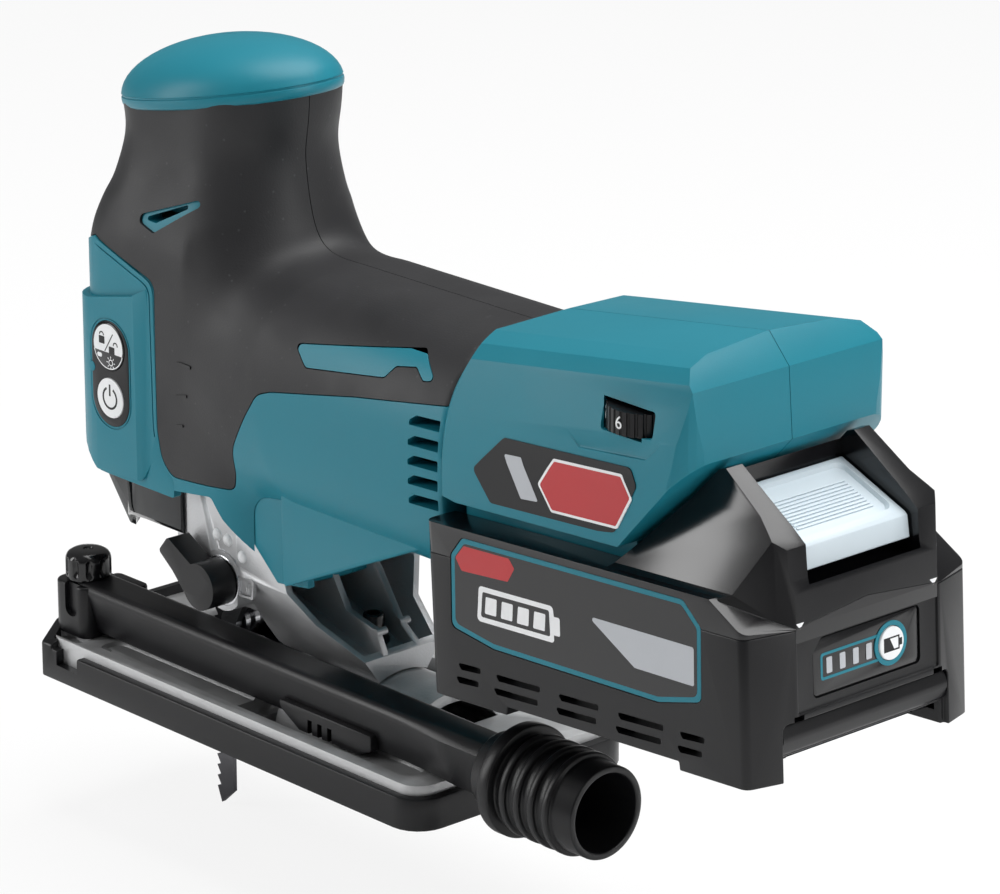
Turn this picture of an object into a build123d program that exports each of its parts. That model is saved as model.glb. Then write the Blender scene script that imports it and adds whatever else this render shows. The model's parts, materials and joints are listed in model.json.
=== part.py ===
from build123d import *
import os
from math import cos, hypot, pi, radians, sin, sqrt

os.makedirs("parts", exist_ok=True)

# A cordless barrel-grip jigsaw. Millimetres. +X runs to the battery at the rear, +Z up, and -Y is the left
# side. The origin is the centre of the sole's underside.

# Clearances
running = 0.05  # radial, a shaft that turns or slides in its hole
parting = 0.1  # a fixed piece in the pocket that holds it
gap = 0.4  # faces that move past each other

# Base
sole_length = 161.0
sole_width = 77.0
sole_corner = 9.0
tray_floor = 2.0
tray_wall = 2.5
tray_height = 9.0
tray_front_height = 11.7
tray_slot_half = 4.5
plate_top = 11.7
plate_web = 3.5
plate_rim = 4.0
blade_gap_front = -62.0
blade_gap_rear = -18.0
blade_gap_half = 22.0
arch_radius = 22.0
arch_wall = 3.0
arch_front = 4.0
arch_rear = 52.0
bevel_right = 45.0
bevel_left = 8.0

# Dust nozzle
nozzle_y = -25.0
nozzle_radius = 8.4
nozzle_wall = 1.8
nozzle_rear = 107.0
boss_x = -72.0
boss_radius = 7.6
boss_height = 15.0
knob_radius = 6.4
knob_height = 8.5
thumb_screw_radius = 2.5
cuff_front = 98.0
cuff_rear = 137.0
cuff_flange_radius = 15.0
cuff_ring_radius = 13.6
cuff_end_radius = 12.3
cuff_bore_radius = 10.4
cuff_plain_end = 7.0

# Grip column: front, rear and half width of its plain lower part, and the sections of the neck over it
column_front = -71.5
column_rear = 9.0
column_half = 29.7
column_top = 118.0
column_corner = 27.0
neck_stations = [
    (118.0, -71.5, 7.0, 29.5),
    (133.0, -70.6, 0.0, 27.6),
    (145.0, -66.5, -4.2, 24.4),
    (157.0, -64.5, -6.0, 22.4),
    (168.0, -66.5, -4.4, 22.8),
    (181.0, -67.5, -3.6, 23.4),
]
neck_roundness = 0.92

# Cap of the grip: half an ellipsoid that leans forward
cap_centre = (-36.0, 169.8)
cap_lean = 10.9
cap_half_length = 35.6
cap_half_width = 25.2
cap_rise = 14.4
cap_lip = 1.4

# Motor barrel
barrel_front = -26.0
barrel_bottom = 65.0
barrel_top = 131.8
barrel_half = 32.3
barrel_top_corner = 26.0
barrel_bottom_corner = 19.0
skirt_bottom = 46.8
skirt_front = -12.0
skirt_rear = 15.0
skirt_half = 26.0
rubber = 1.7
core_front = -66.0
core_rear = -8.0
core_half = 26.8
core_corner = 16.0
core_shoulder = 123.0
core_neck = 139.0

# Rear box
box_front = 83.5
box_rear = 174.5
box_half = 36.0
box_slope = 8.25
box_top_front = (97.0, 137.1)
box_wall = 2.6
box_corner = 9.0
dial_x = 152.0
dial_z = 129.0
dial_radius = 10.0
dial_height = 6.0
dial_stand_out = 0.6

# Battery, on a rail pitched up towards the rear
rail_pitch = 3.5
rail_start = (84.0, 90.0)
rail_length = 62.0
battery_length = 116.3
battery_half = 38.5
battery_bottom = -48.0
battery_split = -10.6
battery_shoulder = -2.5
battery_wall = 2.4
box_floor = 3.0
rail_web_outer = 27.6
rail_web_inner = 24.0
rail_lip_inner = 20.4
rail_depth = 8.0
rail_lip = 2.6
hump_start = 69.0
hump_top = (95.0, 26.0)
hump_rear = (113.6, 3.4)
cell_radius = 9.1
cell_length = 65.0
cell_end_room = 16.15
cell_least_pitch = 19.2
cell_row_pitch = 18.6
button_half = 18.6
button_travel = 4.0

# Drive train
motor_z = 95.0
motor_radius = 26.7
stator_front = 16.0
stator_rear = 52.0
stator_bore = 13.6
rotor_gap = 0.5
shaft_radius = 2.5
tooth_module = 0.8
pinion_teeth = 8
gear_teeth = 40
gear_front = -26.0
gear_width = 7.0
bearing_wall_front = -17.0
motor_bearing_radius = 8.0
motor_bearing_width = 7.0
gear_shaft_radius = 3.5
gear_bearing_radius = 6.3
gear_bearing_width = 8.0
partition_front = 60.0
partition_rear = 69.0
rear_bearing_radius = 7.0
rear_bearing_width = 6.0
fan_radius = 23.5
fan_front = 5.5
fan_width = 7.5
stroke = 26.0
crank_pin_radius = 2.5
crank_disc_width = 3.0

# Plunger and blade
blade_x = -43.5
plunger_radius = 4.5
plunger_bottom = 60.0
plunger_top = 150.0
bush_wall = 2.5
bush_top = 149.0
yoke_half_width = 18.2
yoke_half_height = 6.0
yoke_width = 5.0
clamp_radius = 6.5
clamp_bottom = 38.0
sleeve_radius = 9.5
sleeve_bottom = 41.0
sleeve_height = 14.0
blade_width = 7.0
blade_thickness = 1.3
blade_tip = -39.0
roller_radius = 4.5
roller_z = 19.0
roller_half_width = 2.5
roller_pin_radius = 1.5
holder_pivot = (-24.0, 40.0)
holder_pin_radius = 2.0

# Gear housing
casting_front = -57.0
casting_rear = 2.0
casting_half = 23.4
casting_wall = 2.8
casting_top = 137.0
casting_neck_z = 121.0
casting_neck_half = 21.4
casting_neck_rear = -14.6
shelf_bottom = 78.0
shelf_top = 90.0
chamber_top = 134.0
lower_front = -33.0
flank_top = 42.5
foot_front = 8.0
foot_rear = 31.0
foot_half = 8.6
foot_top = 27.0
rib_half = 1.2
bolt_x = 20.0
bolt_radius = 2.9
bolt_head_radius = 5.0

# Front cover, its switches and the dust cover
cover_front = -72.0
cover_rear = -35.0
cover_half = 30.6
cover_wall = 2.6
cover_bottom = 62.5
cover_top = 129.0
cover_corner = 11.0
switch_x = -54.0
switch_z = 92.0
switch_width = 15.0
switch_height = 31.0
switch_plate = 1.0
switch_pitch = 14.6
switch_button_radius = 6.0
switch_travel = 0.7
dust_cover_half = 22.0
dust_cover_front = -68.0
dust_cover_bottom = 41.5
dust_cover_top = 62.0
dust_cover_wall = 1.6
lever_pivot = (-14.5, 41.3)
lever_hub_radius = 6.5
lever_shaft_radius = 3.5
lever_length = 18.5
lever_angle = 148.0
lever_out = 36.0

# Values that follow from the ones above
nozzle_z = plate_top + gap + nozzle_radius
nozzle_front = boss_x + knob_radius + 0.8
knob_bottom = plate_top + boss_height + gap
tray_inside_half = sole_width / 2 - tray_wall
gear_z = motor_z + tooth_module * (pinion_teeth + gear_teeth) / 2
crank_radius = stroke / 2
yoke_front = blade_x + plunger_radius - 1.0
yoke_rear = yoke_front + yoke_width
pitch = radians(rail_pitch)
rail = Plane(
    origin=(rail_start[0], 0, rail_start[1]),
    x_dir=(cos(pitch), 0, sin(pitch)),
    z_dir=(-sin(pitch), 0, cos(pitch)),
)
rail_side = Plane(origin=rail.origin, x_dir=rail.x_dir, z_dir=(0, -1, 0))
lean = radians(cap_lean)
cap_base = Plane(
    origin=(cap_centre[0], 0, cap_centre[1]),
    x_dir=(cos(lean), 0, sin(lean)),
    z_dir=(-sin(lean), 0, cos(lean)),
)


def box_between(x, y, z, mode=Mode.ADD):
    """A box between a low and a high x, y and z, on the workplane of the part being built."""
    with Locations(((x[0] + x[1]) / 2, (y[0] + y[1]) / 2, (z[0] + z[1]) / 2)):
        Box(x[1] - x[0], y[1] - y[0], z[1] - z[0], mode=mode)


def rod(start, direction, radius, length, mode=Mode.ADD):
    """A round rod from a point, along a direction."""
    with BuildSketch(Plane(origin=start, z_dir=direction)) as section:
        Circle(radius)
    extrude(section.sketch, amount=length, mode=mode)


def ring(start, direction, outer, inner, length, mode=Mode.ADD):
    """A round tube from a point, along a direction."""
    with BuildSketch(Plane(origin=start, z_dir=direction)) as section:
        Circle(outer)
        Circle(inner, mode=Mode.SUBTRACT)
    extrude(section.sketch, amount=length, mode=mode)


def prism(plane, points, half, mode=Mode.ADD):
    """A polygon drawn on a plane and extruded the same way to both sides of it."""
    with BuildSketch(plane) as outline:
        Polygon(*points, align=None)
    extrude(outline.sketch, amount=half, both=True, mode=mode)


def gear_points(teeth, thinner, turn):
    """Outline of a spur gear with straight-flanked teeth, the first tooth at an angle of turn."""
    pitch_radius = tooth_module * teeth / 2
    tip, root = pitch_radius + 0.85 * tooth_module, pitch_radius - 1.1 * tooth_module
    half_tooth = pi / (2 * teeth) - thinner / (2 * pitch_radius)
    points = []
    for i in range(teeth):
        middle = radians(turn) + 2 * pi * i / teeth
        for radius, share in ((root, -1.5), (tip, -0.5), (tip, 0.5), (root, 1.5)):
            angle = middle + share * half_tooth
            points.append((radius * cos(angle), radius * sin(angle)))
    return points


def column_form():
    """The grip column: a plain lower part, and a waisted neck cut off square to the cap."""
    with BuildPart() as form:
        for height, front, rear, half_width in neck_stations:
            with BuildSketch(Plane.XY.offset(height)):
                with Locations(((front + rear) / 2, 0)):
                    RectangleRounded(rear - front, 2 * half_width, neck_roundness * half_width)
        loft()
        split(bisect_by=cap_base.offset(-cap_lip), keep=Keep.BOTTOM)
        with BuildSketch(Plane.XY.offset(skirt_bottom)):
            with Locations(((column_front + column_rear) / 2, 0)):
                RectangleRounded(column_rear - column_front, 2 * column_half, column_corner)
        extrude(amount=column_top - skirt_bottom)
    return form.part


def barrel_form(front, rear, inset):
    """A length of the motor barrel, rounder at the top than at the bottom, drawn in by an inset."""
    with BuildPart() as form:
        with BuildSketch(Plane.YZ.offset(front)) as section:
            with Locations((0, (barrel_top + barrel_bottom) / 2)):
                Rectangle(2 * (barrel_half - inset), barrel_top - barrel_bottom - 2 * inset)
            fillet(section.vertices().group_by(Axis.Y)[-1], barrel_top_corner - inset)
            fillet(section.vertices().group_by(Axis.Y)[0], barrel_bottom_corner - inset)
        extrude(amount=rear - front)
    return form.part


def cap_form():
    """The cap: ovals that follow half an ellipsoid."""
    with BuildPart() as form:
        for share in (-cap_lip / cap_rise, 0.0, 0.3, 0.56, 0.78, 0.92, 0.985):
            size = sqrt(1 - share * share)
            with BuildSketch(cap_base.offset(cap_rise * share)):
                Ellipse(cap_half_length * size, cap_half_width * size)
        loft()
    return form.part


def floor_height(x):
    """Height of the rear box's floor, which runs along the rail."""
    return rail_start[1] + (x - rail_start[0]) * sin(pitch) / cos(pitch) + box_floor / cos(pitch)


def rear_box_form():
    """The rear box: a side profile met by a crowned section that runs up its sloping top."""
    top_x, top_z = box_top_front
    rise = radians(box_slope)
    up_slope = Plane(origin=(top_x, 0, top_z), x_dir=(0, 1, 0), z_dir=(cos(rise), 0, sin(rise)))
    rear_top = top_z + (box_rear - top_x) * sin(rise) / cos(rise)
    with BuildPart() as form:
        outline = [
            (box_front, top_z - 5.5),
            (top_x, top_z + 1.0),
            (box_rear - 9.0, rear_top),
            (box_rear - 1.5, rear_top - 8.0),
            (box_rear, rear_top - 26.0),
            (box_rear - 23.3, floor_height(box_rear - 23.3)),
            (box_front + 8.0, floor_height(box_front + 8.0)),
            (box_front, floor_height(box_front) + 1.5),
        ]
        prism(Plane.XZ, outline, box_half + 4)
        with BuildSketch(up_slope):
            half_section = [
                (0, 0.6),
                (22, -0.7),
                (29, -2.6),
                (32, -6.0),
                (box_half - 1.0, -20.0),
                (box_half, -30.0),
                (box_half - 0.8, -60.0),
            ]
            mirrored = [(-y, z) for y, z in reversed(half_section[1:])]
            Polygon(*half_section, *mirrored, align=None)
        extrude(amount=120, both=True, mode=Mode.INTERSECT)
        # Rounded rear corners, seen from above
        plan_length = 2 * (box_rear - box_front)
        with BuildSketch(Plane.XY.offset(top_z - 60)):
            with Locations((box_rear - plan_length / 2, 0)):
                RectangleRounded(plan_length, 2 * box_half + 1, box_corner)
        extrude(amount=120, mode=Mode.INTERSECT)
    return form.part


# Sole cover: the plastic tray under the base
with BuildPart() as sole_cover:
    with BuildSketch():
        RectangleRounded(sole_length, sole_width, sole_corner)
    extrude(amount=tray_height)
    with BuildSketch(Plane.XY.offset(tray_height)):
        RectangleRounded(sole_length, sole_width, sole_corner)
        with Locations((tray_wall, 0)):
            Rectangle(sole_length, sole_width, mode=Mode.SUBTRACT)
    extrude(amount=tray_front_height - tray_height)
    with BuildSketch(Plane.XY.offset(tray_floor)):
        RectangleRounded(sole_length - 2 * tray_wall, 2 * tray_inside_half, sole_corner - tray_wall)
    extrude(amount=tray_front_height, mode=Mode.SUBTRACT)
    box_between(
        (blade_gap_front, blade_gap_rear), (-tray_slot_half, tray_slot_half), (-1, tray_floor + 1), Mode.SUBTRACT
    )
sole_cover.part.label = "sole_cover"
export_step(sole_cover.part, "parts/sole_cover.step")

# Sole plate: the aluminium base with the half-round arch that the body tilts on
with BuildPart() as sole_plate:
    plate_length = sole_length - 2 * tray_wall - 2 * parting
    plate_width = 2 * (tray_inside_half - parting)
    with BuildSketch(Plane.XY.offset(tray_floor)):
        RectangleRounded(plate_length, plate_width, sole_corner - tray_wall)
    extrude(amount=plate_top - tray_floor)
    with BuildSketch(Plane.XY.offset(tray_floor)):
        RectangleRounded(plate_length - 2 * plate_rim, plate_width - 2 * plate_rim, 4)
        for rib_x in (blade_gap_rear + 4, arch_front - 4, arch_rear + 3):
            with Locations((rib_x, 0)):
                Rectangle(plate_rim, sole_width, mode=Mode.SUBTRACT)
    extrude(amount=plate_top - plate_web - tray_floor, mode=Mode.SUBTRACT)
    # Room for the foot of the gear housing to swing down beside the arch
    swing_half = arch_radius + foot_half
    box_between(
        (casting_rear - 3.0, foot_rear + 1.5), (-swing_half, swing_half), (plate_top - 5.0, plate_top + 1), Mode.SUBTRACT
    )
    with BuildSketch(Plane.YZ.offset(arch_front)):
        Circle(arch_radius)
        with Locations((0, -arch_radius + tray_floor)):
            Rectangle(4 * arch_radius, 2 * arch_radius, mode=Mode.SUBTRACT)
    extrude(amount=arch_rear - arch_front)
    rod((arch_front - 1, 0, 0), (1, 0, 0), arch_radius - arch_wall, arch_rear - arch_front + 2, Mode.SUBTRACT)
    # Slot that the bevel bolt travels in
    slot_right = arch_radius * sin(radians(bevel_right)) + 1.6 * bolt_radius
    slot_left = arch_radius * sin(radians(bevel_left)) + 1.6 * bolt_radius
    slot_half = bolt_radius + gap
    box_between(
        (bolt_x - slot_half, bolt_x + slot_half), (-slot_left, slot_right), (10.5, arch_radius + 1), Mode.SUBTRACT
    )
    box_between(
        (blade_gap_front, blade_gap_rear), (-blade_gap_half, blade_gap_half), (0, plate_top + 1), Mode.SUBTRACT
    )
    rod((boss_x, nozzle_y, 0), (0, 0, 1), thumb_screw_radius + running, plate_top + 1, Mode.SUBTRACT)
sole_plate.part.label = "sole_plate"
export_step(sole_plate.part, "parts/sole_plate.step")

# Dust nozzle: a tube along the left of the base, held at the front by its boss
with BuildPart() as dust_nozzle:
    rod((nozzle_front, nozzle_y, nozzle_z), (1, 0, 0), nozzle_radius, nozzle_rear - nozzle_front)
    rod((boss_x, nozzle_y, plate_top), (0, 0, 1), boss_radius, boss_height)
    # Inlet that opens towards the blade
    inlet_reach = blade_gap_half - 1.0
    box_between(
        (nozzle_front + 6, nozzle_front + 22),
        (nozzle_y, -inlet_reach + 6.0),
        (nozzle_z - nozzle_radius + 1.0, nozzle_z + nozzle_radius - 1.0),
    )
    # A foot under the tube at the rear of the plate
    box_between((60, 72), (nozzle_y - 3, nozzle_y + 3), (plate_top, nozzle_z - nozzle_radius + 1.0))
    bore = nozzle_radius - nozzle_wall
    rod((nozzle_front + 8, nozzle_y, nozzle_z), (1, 0, 0), bore, nozzle_rear - nozzle_front, Mode.SUBTRACT)
    box_between(
        (nozzle_front + 8, nozzle_front + 20), (nozzle_y, 0), (nozzle_z - bore + 1.0, nozzle_z + bore - 1.0), Mode.SUBTRACT
    )
    rod((boss_x, nozzle_y, 0), (0, 0, 1), thumb_screw_radius + running, 40, Mode.SUBTRACT)
dust_nozzle.part.label = "dust_nozzle"
export_step(dust_nozzle.part, "parts/dust_nozzle.step")

# Thumb screw that holds the nozzle's boss down on the plate
with BuildPart() as nozzle_thumb_screw:
    rod((boss_x, nozzle_y, tray_floor + 3), (0, 0, 1), thumb_screw_radius, knob_bottom - tray_floor - 2)
    rod((boss_x, nozzle_y, knob_bottom), (0, 0, 1), knob_radius, knob_height)
    with Locations((boss_x, nozzle_y, knob_bottom + knob_height / 2)):
        with PolarLocations(knob_radius, 12):
            Cylinder(0.9, knob_height - 2.0, mode=Mode.SUBTRACT)
    rod((boss_x, nozzle_y, knob_bottom + knob_height - 0.8), (0, 0, 1), 1.2, 2, Mode.SUBTRACT)
nozzle_thumb_screw.part.label = "nozzle_thumb_screw"
export_step(nozzle_thumb_screw.part, "parts/nozzle_thumb_screw.step")

# Hose cuff: stepped rings that a hose grips, turning on the end of the tube
with BuildPart() as hose_cuff:
    cuff_start = (cuff_front, nozzle_y, nozzle_z)
    rod(cuff_start, (1, 0, 0), nozzle_radius + 2.2, cuff_rear - cuff_front)
    flange_x = cuff_front + 7
    rod((flange_x, nozzle_y, nozzle_z), (1, 0, 0), cuff_flange_radius, 4)
    rod((flange_x, nozzle_y, nozzle_z), (1, 0, 0), cuff_end_radius, cuff_rear - flange_x)
    ring_count = 4
    ring_room = cuff_rear - cuff_plain_end - flange_x - 4
    for i in range(ring_count):
        ring_x = flange_x + 4 + (i + 0.5) * ring_room / ring_count
        rod((ring_x, nozzle_y, nozzle_z), (1, 0, 0), cuff_ring_radius, 0.4 * ring_room / ring_count)
    rod(cuff_start, (1, 0, 0), nozzle_radius + running, nozzle_rear - cuff_front + gap, Mode.SUBTRACT)
    funnel_x = nozzle_rear + gap
    rod((funnel_x, nozzle_y, nozzle_z), (1, 0, 0), cuff_bore_radius, cuff_rear - funnel_x + 1, Mode.SUBTRACT)
hose_cuff.part.label = "hose_cuff"
export_step(hose_cuff.part, "parts/hose_cuff.step")

# Bevel saddle and bolt: they pull the foot of the gear housing down on the arch
saddle_radius = arch_radius - arch_wall - gap
with BuildPart() as bevel_saddle:
    with BuildSketch(Plane.YZ.offset(foot_front + 4)):
        Circle(saddle_radius)
        Circle(saddle_radius - 3.2, mode=Mode.SUBTRACT)
        Rectangle(2 * foot_half, 100, mode=Mode.INTERSECT)
        with Locations((0, -50)):
            Rectangle(100, 100, mode=Mode.SUBTRACT)
    extrude(amount=foot_rear - foot_front - 8)
    rod((bolt_x, 0, 0), (0, 0, 1), bolt_radius + parting, 40, Mode.SUBTRACT)
bevel_saddle.part.label = "bevel_saddle"
export_step(bevel_saddle.part, "parts/bevel_saddle.step")

bolt_head_top = sqrt((saddle_radius - 3.2) ** 2 - bolt_head_radius**2) - parting
with BuildPart() as bevel_bolt:
    rod((bolt_x, 0, bolt_head_top - 4.2), (0, 0, 1), bolt_head_radius, 4.2)
    rod((bolt_x, 0, bolt_head_top - 0.5), (0, 0, 1), bolt_radius, 36.0 - bolt_head_top)
    with BuildSketch(Plane(origin=(bolt_x, 0, bolt_head_top - 4.2))):
        RegularPolygon(2.6, 6)
    extrude(amount=2.6, mode=Mode.SUBTRACT)
bevel_bolt.part.label = "bevel_bolt"
export_step(bevel_bolt.part, "parts/bevel_bolt.step")

# Outer forms shared by the housing halves and the rubber skins
grip_form = column_form() + barrel_form(barrel_front, box_front, 0)
cap_solid = cap_form()
box_solid = rear_box_form()

# Core of the housing under the rubber: plain shapes that the skin is moulded over
with BuildPart() as housing_core:
    with BuildSketch(Plane.XY.offset(skirt_bottom)):
        with Locations(((core_front + core_rear) / 2, 0)):
            RectangleRounded(core_rear - core_front, 2 * core_half, core_corner)
    extrude(amount=core_shoulder - skirt_bottom)
    waist = neck_stations[3]
    neck_front, neck_rear, neck_core_half = waist[1] + 2 * rubber, waist[2] - 2 * rubber, waist[3] - 2 * rubber
    with BuildSketch(Plane.XY.offset(core_shoulder)):
        with Locations(((neck_front + neck_rear) / 2, 0)):
            RectangleRounded(neck_rear - neck_front, 2 * neck_core_half, neck_core_half - 1)
    extrude(amount=cap_centre[1] + 15 - core_shoulder)
    split(bisect_by=cap_base.offset(-cap_lip), keep=Keep.BOTTOM)
    # Wider round the upper end of the gear housing
    shoulder_front, shoulder_rear, shoulder_half = casting_front - 5.5, casting_neck_rear + 5.5, casting_neck_half + 2.5
    with BuildSketch(Plane.XY.offset(core_shoulder)):
        with Locations(((shoulder_front + shoulder_rear) / 2, 0)):
            RectangleRounded(shoulder_rear - shoulder_front, 2 * shoulder_half, core_corner)
    extrude(amount=core_neck - core_shoulder)
    add(barrel_form(barrel_front, box_front, rubber))

# Outline of the rubber, seen from the side: round the front cover, over the side panel, up to the cap
rim_drop = sin(lean) / cos(lean)
rubber_outline = [
    (cover_front - 20, cover_top + 1.6),
    (-61.5, cover_top - 0.4),
    (cover_rear + 0.8, 121.4),
    (cover_rear + 1.4, 80.6),
    (cover_rear + 3.2, 72.4),
    (-27.5, 68.8),
    (-4.2, 70.4),
    (-2.2, 76.0),
    (-1.2, 83.1),
    (6.0, 94.3),
    (11.3, 101.8),
    (14.1, 103.3),
    (49.8, 110.1),
    (box_front, 115.8),
    (box_front, 150.0),
    (12.0, 150.0),
    (12.0, cap_centre[1] - cap_lip + (12.0 - cap_centre[0]) * rim_drop),
    (cover_front - 20, cap_centre[1] - cap_lip + (cover_front - 20 - cap_centre[0]) * rim_drop),
]
side_insert = [
    (23.9, 117.7),
    (68.1, 125.3),
    (76.5, 119.6),
    (72.5, 119.0),
    (68.5, 121.4),
    (61.5, 120.2),
    (58.8, 116.9),
    (29.6, 113.0),
]
corner_insert = [(-44.5, 136.4), (-35.5, 134.6), (-15.0, 147.6)]

# Solid of the front cover's envelope, which the housing and the rubber leave free
cover_outline = [
    (cover_front - 5, cover_top + 2.0),
    (-61.5, cover_top),
    (cover_rear, 121.0),
    (cover_rear + 0.6, 80.6),
    (cover_rear + 2.4, 72.0),
    (-27.5, cover_bottom + 5.0),
    (-27.5, cover_bottom),
    (cover_front + 9, cover_bottom),
    (cover_front, cover_bottom + 7.0),
    (cover_front - 5, cover_bottom + 7.0),
]


def front_cover_form(thickness):
    """The front cover's shell in plan, cut to its outline seen from the side."""
    length = cover_rear + 10 - cover_front
    with BuildPart() as form:
        with BuildSketch(Plane.XY.offset(cover_bottom - 2)):
            with Locations((cover_front + length / 2, 0)):
                RectangleRounded(length, 2 * cover_half, cover_corner)
            with Locations((cover_front + thickness + length / 2, 0)):
                inner_corner = max(cover_corner - thickness, 1.0)
                RectangleRounded(length, 2 * (cover_half - thickness), inner_corner, mode=Mode.SUBTRACT)
        extrude(amount=cover_top + 4 - cover_bottom)
        prism(Plane.XZ, cover_outline, 60, Mode.INTERSECT)
    return form.part


cover_room = front_cover_form(cover_wall + parting)
neck_cavity_top = plunger_top + stroke / 2 + 2.5

# Cavities of the housing: the casting, the neck, the motor, the rear box and their openings
with BuildPart() as hollows:
    casting_room = 6 * parting
    room_half = casting_half + casting_room
    neck_half = casting_neck_half + casting_room
    room_length = casting_rear - casting_front + 2 * casting_room
    room_middle = (casting_rear + casting_front) / 2
    with BuildSketch(Plane.XY.offset(skirt_bottom - 10)):
        with Locations((room_middle, 0)):
            RectangleRounded(room_length, 2 * room_half, 6)
    extrude(amount=casting_neck_z - skirt_bottom + 10)
    neck_middle = (casting_front + casting_neck_rear) / 2
    neck_length = casting_neck_rear - casting_front
    with BuildSketch(Plane.XY.offset(casting_neck_z - 1)):
        with Locations((neck_middle, 0)):
            RectangleRounded(neck_length + 2 * casting_room, 2 * neck_half, 11)
    extrude(amount=casting_top - casting_neck_z + 1 + casting_room)
    bush_boss_radius = plunger_radius + bush_wall + 3.5
    rod((blade_x, 0, casting_top), (0, 0, 1), bush_boss_radius + casting_room, neck_cavity_top - casting_top)
    # Open front, behind the front cover
    box_between(
        (cover_front - 10, casting_front + 8), (-cover_half + 6, cover_half - 6), (skirt_bottom, cover_bottom + 45)
    )
    rod((casting_rear - 8, 0, motor_z), (1, 0, 0), motor_radius + parting, partition_front - casting_rear + 8)
    rod(
        (partition_front - 1, 0, motor_z), (1, 0, 0), rear_bearing_radius + parting / 2, rear_bearing_width + 1 + parting
    )
    # Behind the vents, and the rear end of the box
    vent_half = barrel_half - 4.5
    box_between((partition_rear, box_front + 8), (-vent_half, vent_half), (84, 116))
    box_between((dial_x - 4, box_rear - 10), (-box_half + 8, box_half - 8), (118, 134))
    rod(
        (dial_x, -(box_half + dial_stand_out - dial_radius), dial_z - dial_height / 2 - gap),
        (0, 0, 1),
        dial_radius + gap,
        dial_height + 2 * gap,
    )

# Vent slots on both sides of the barrel
with BuildPart() as vents:
    vent_count = 5
    for i in range(vent_count):
        vent_z = 88.0 + i * 5.4
        box_between((71.5, 82.5), (-60, 60), (vent_z, vent_z + 3.4))

# Screws that close the two halves: x, z and the height of the head's seat from the parting plane
screw_places = [(64.5, 116.0, 24.0), (64.5, 74.0, 24.0), (10.0, 53.0, 21.0), (-13.5, 158.0, 9.0)]
screw_radius = 1.6
screw_head_radius = 3.1


def screw_solids(grow):
    """The housing screws, or, grown a little, the holes that they sit in."""
    with BuildPart() as solids:
        for x, z, seat in screw_places:
            rod((x, -8.0 - grow, z), (0, 1, 0), screw_radius + grow, seat + 8.5 + grow)
            head_length = 30.0 if grow else 2.6
            rod((x, seat - grow, z), (0, 1, 0), screw_head_radius + grow, head_length)
    return solids.part


screw_holes = screw_solids(parting)

# Everything in front of the side panel and under the front cover is left to the gear housing
lower_front_cut = [
    (cover_front - 20, 30.0),
    (cover_front - 20, cover_bottom),
    (-34.0, 64.0),
    (-12.0, 66.5),
    (-8.0, 61.0),
    (8.0, skirt_bottom),
    (8.0, 30.0),
]

# Region of the rubber, seen from the side, with the windows that the teal inserts fill
with BuildPart() as rubber_region:
    with BuildSketch(Plane.XZ):
        Polygon(*rubber_outline, align=None)
        Polygon(*side_insert, align=None, mode=Mode.SUBTRACT)
        Polygon(*corner_insert, align=None, mode=Mode.SUBTRACT)
    extrude(amount=60, both=True)

# The small inserts on the neck lie a little under the rubber
with BuildPart() as neck_inserts:
    prism(Plane.XZ, corner_insert, neck_stations[2][3] - 0.6)

# Rubber skin over the grip
with BuildPart() as rubber_skin:
    add(grip_form)
    add(rubber_region.part, mode=Mode.INTERSECT)
    add(housing_core.part, mode=Mode.SUBTRACT)
    box_between((box_front, box_front + 40), (-60, 60), (60, 160), Mode.SUBTRACT)
    add(cover_room, mode=Mode.SUBTRACT)
    add(screw_holes, mode=Mode.SUBTRACT)

# Rails under the rear box, which the battery hangs on
rail_bottom = box_floor - rail_depth
with BuildPart(rail) as rails:
    for side in (-1, 1):
        web = sorted((side * rail_web_inner, side * rail_web_outer))
        lip = sorted((side * rail_lip_inner, side * rail_web_inner))
        box_between((4, 4 + rail_length), web, (rail_bottom, box_floor + 1))
        box_between((4, 4 + rail_length), lip, (rail_bottom, rail_bottom + rail_lip))

# Room in the rear box, square to the rails
terminal_start, terminal_end, terminal_half, terminal_top = 16.0, 40.0, 13.0, 9.0
with BuildPart(rail) as box_room:
    box_inside = box_half - box_wall - 3.5
    box_between((5, 70), (-box_inside, box_inside), (box_floor + 3, 38))
    box_between(
        (terminal_start - parting, terminal_end + parting),
        (-terminal_half - parting, terminal_half + parting),
        (box_floor - 2, box_floor + 4),
    )

with BuildPart() as shell:
    add(grip_form)
    prism(Plane.XZ, [(cover_front - 20, column_top), (50, column_top), (50, 220), (cover_front - 20, 220)], 60, Mode.SUBTRACT)
    add(barrel_form(column_rear, box_front, 0))
    add(rubber_region.part, mode=Mode.SUBTRACT)
    add(neck_inserts.part)
    add(housing_core.part)
    box_between((skirt_front, skirt_rear), (-skirt_half, skirt_half), (skirt_bottom, barrel_bottom + 3))
    prism(Plane.XZ, lower_front_cut, 60, Mode.SUBTRACT)
    add(box_solid)
    add(cap_solid)
    add(rails.part)
    add(cover_room, mode=Mode.SUBTRACT)
    add(hollows.part, mode=Mode.SUBTRACT)
    add(box_room.part, mode=Mode.SUBTRACT)
    add(vents.part, mode=Mode.SUBTRACT)
    add(screw_holes, mode=Mode.SUBTRACT)

# Halves of the housing, parted along the middle
with BuildPart() as housing_left:
    add(shell.solids().sort_by(SortBy.VOLUME)[-1])
    split(bisect_by=Plane.XZ, keep=Keep.TOP)
housing_left.part.label = "housing_left"
export_step(housing_left.part, "parts/housing_left.step")

with BuildPart() as housing_right:
    add(shell.solids().sort_by(SortBy.VOLUME)[-1])
    split(bisect_by=Plane.XZ, keep=Keep.BOTTOM)
housing_right.part.label = "housing_right"
export_step(housing_right.part, "parts/housing_right.step")

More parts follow.
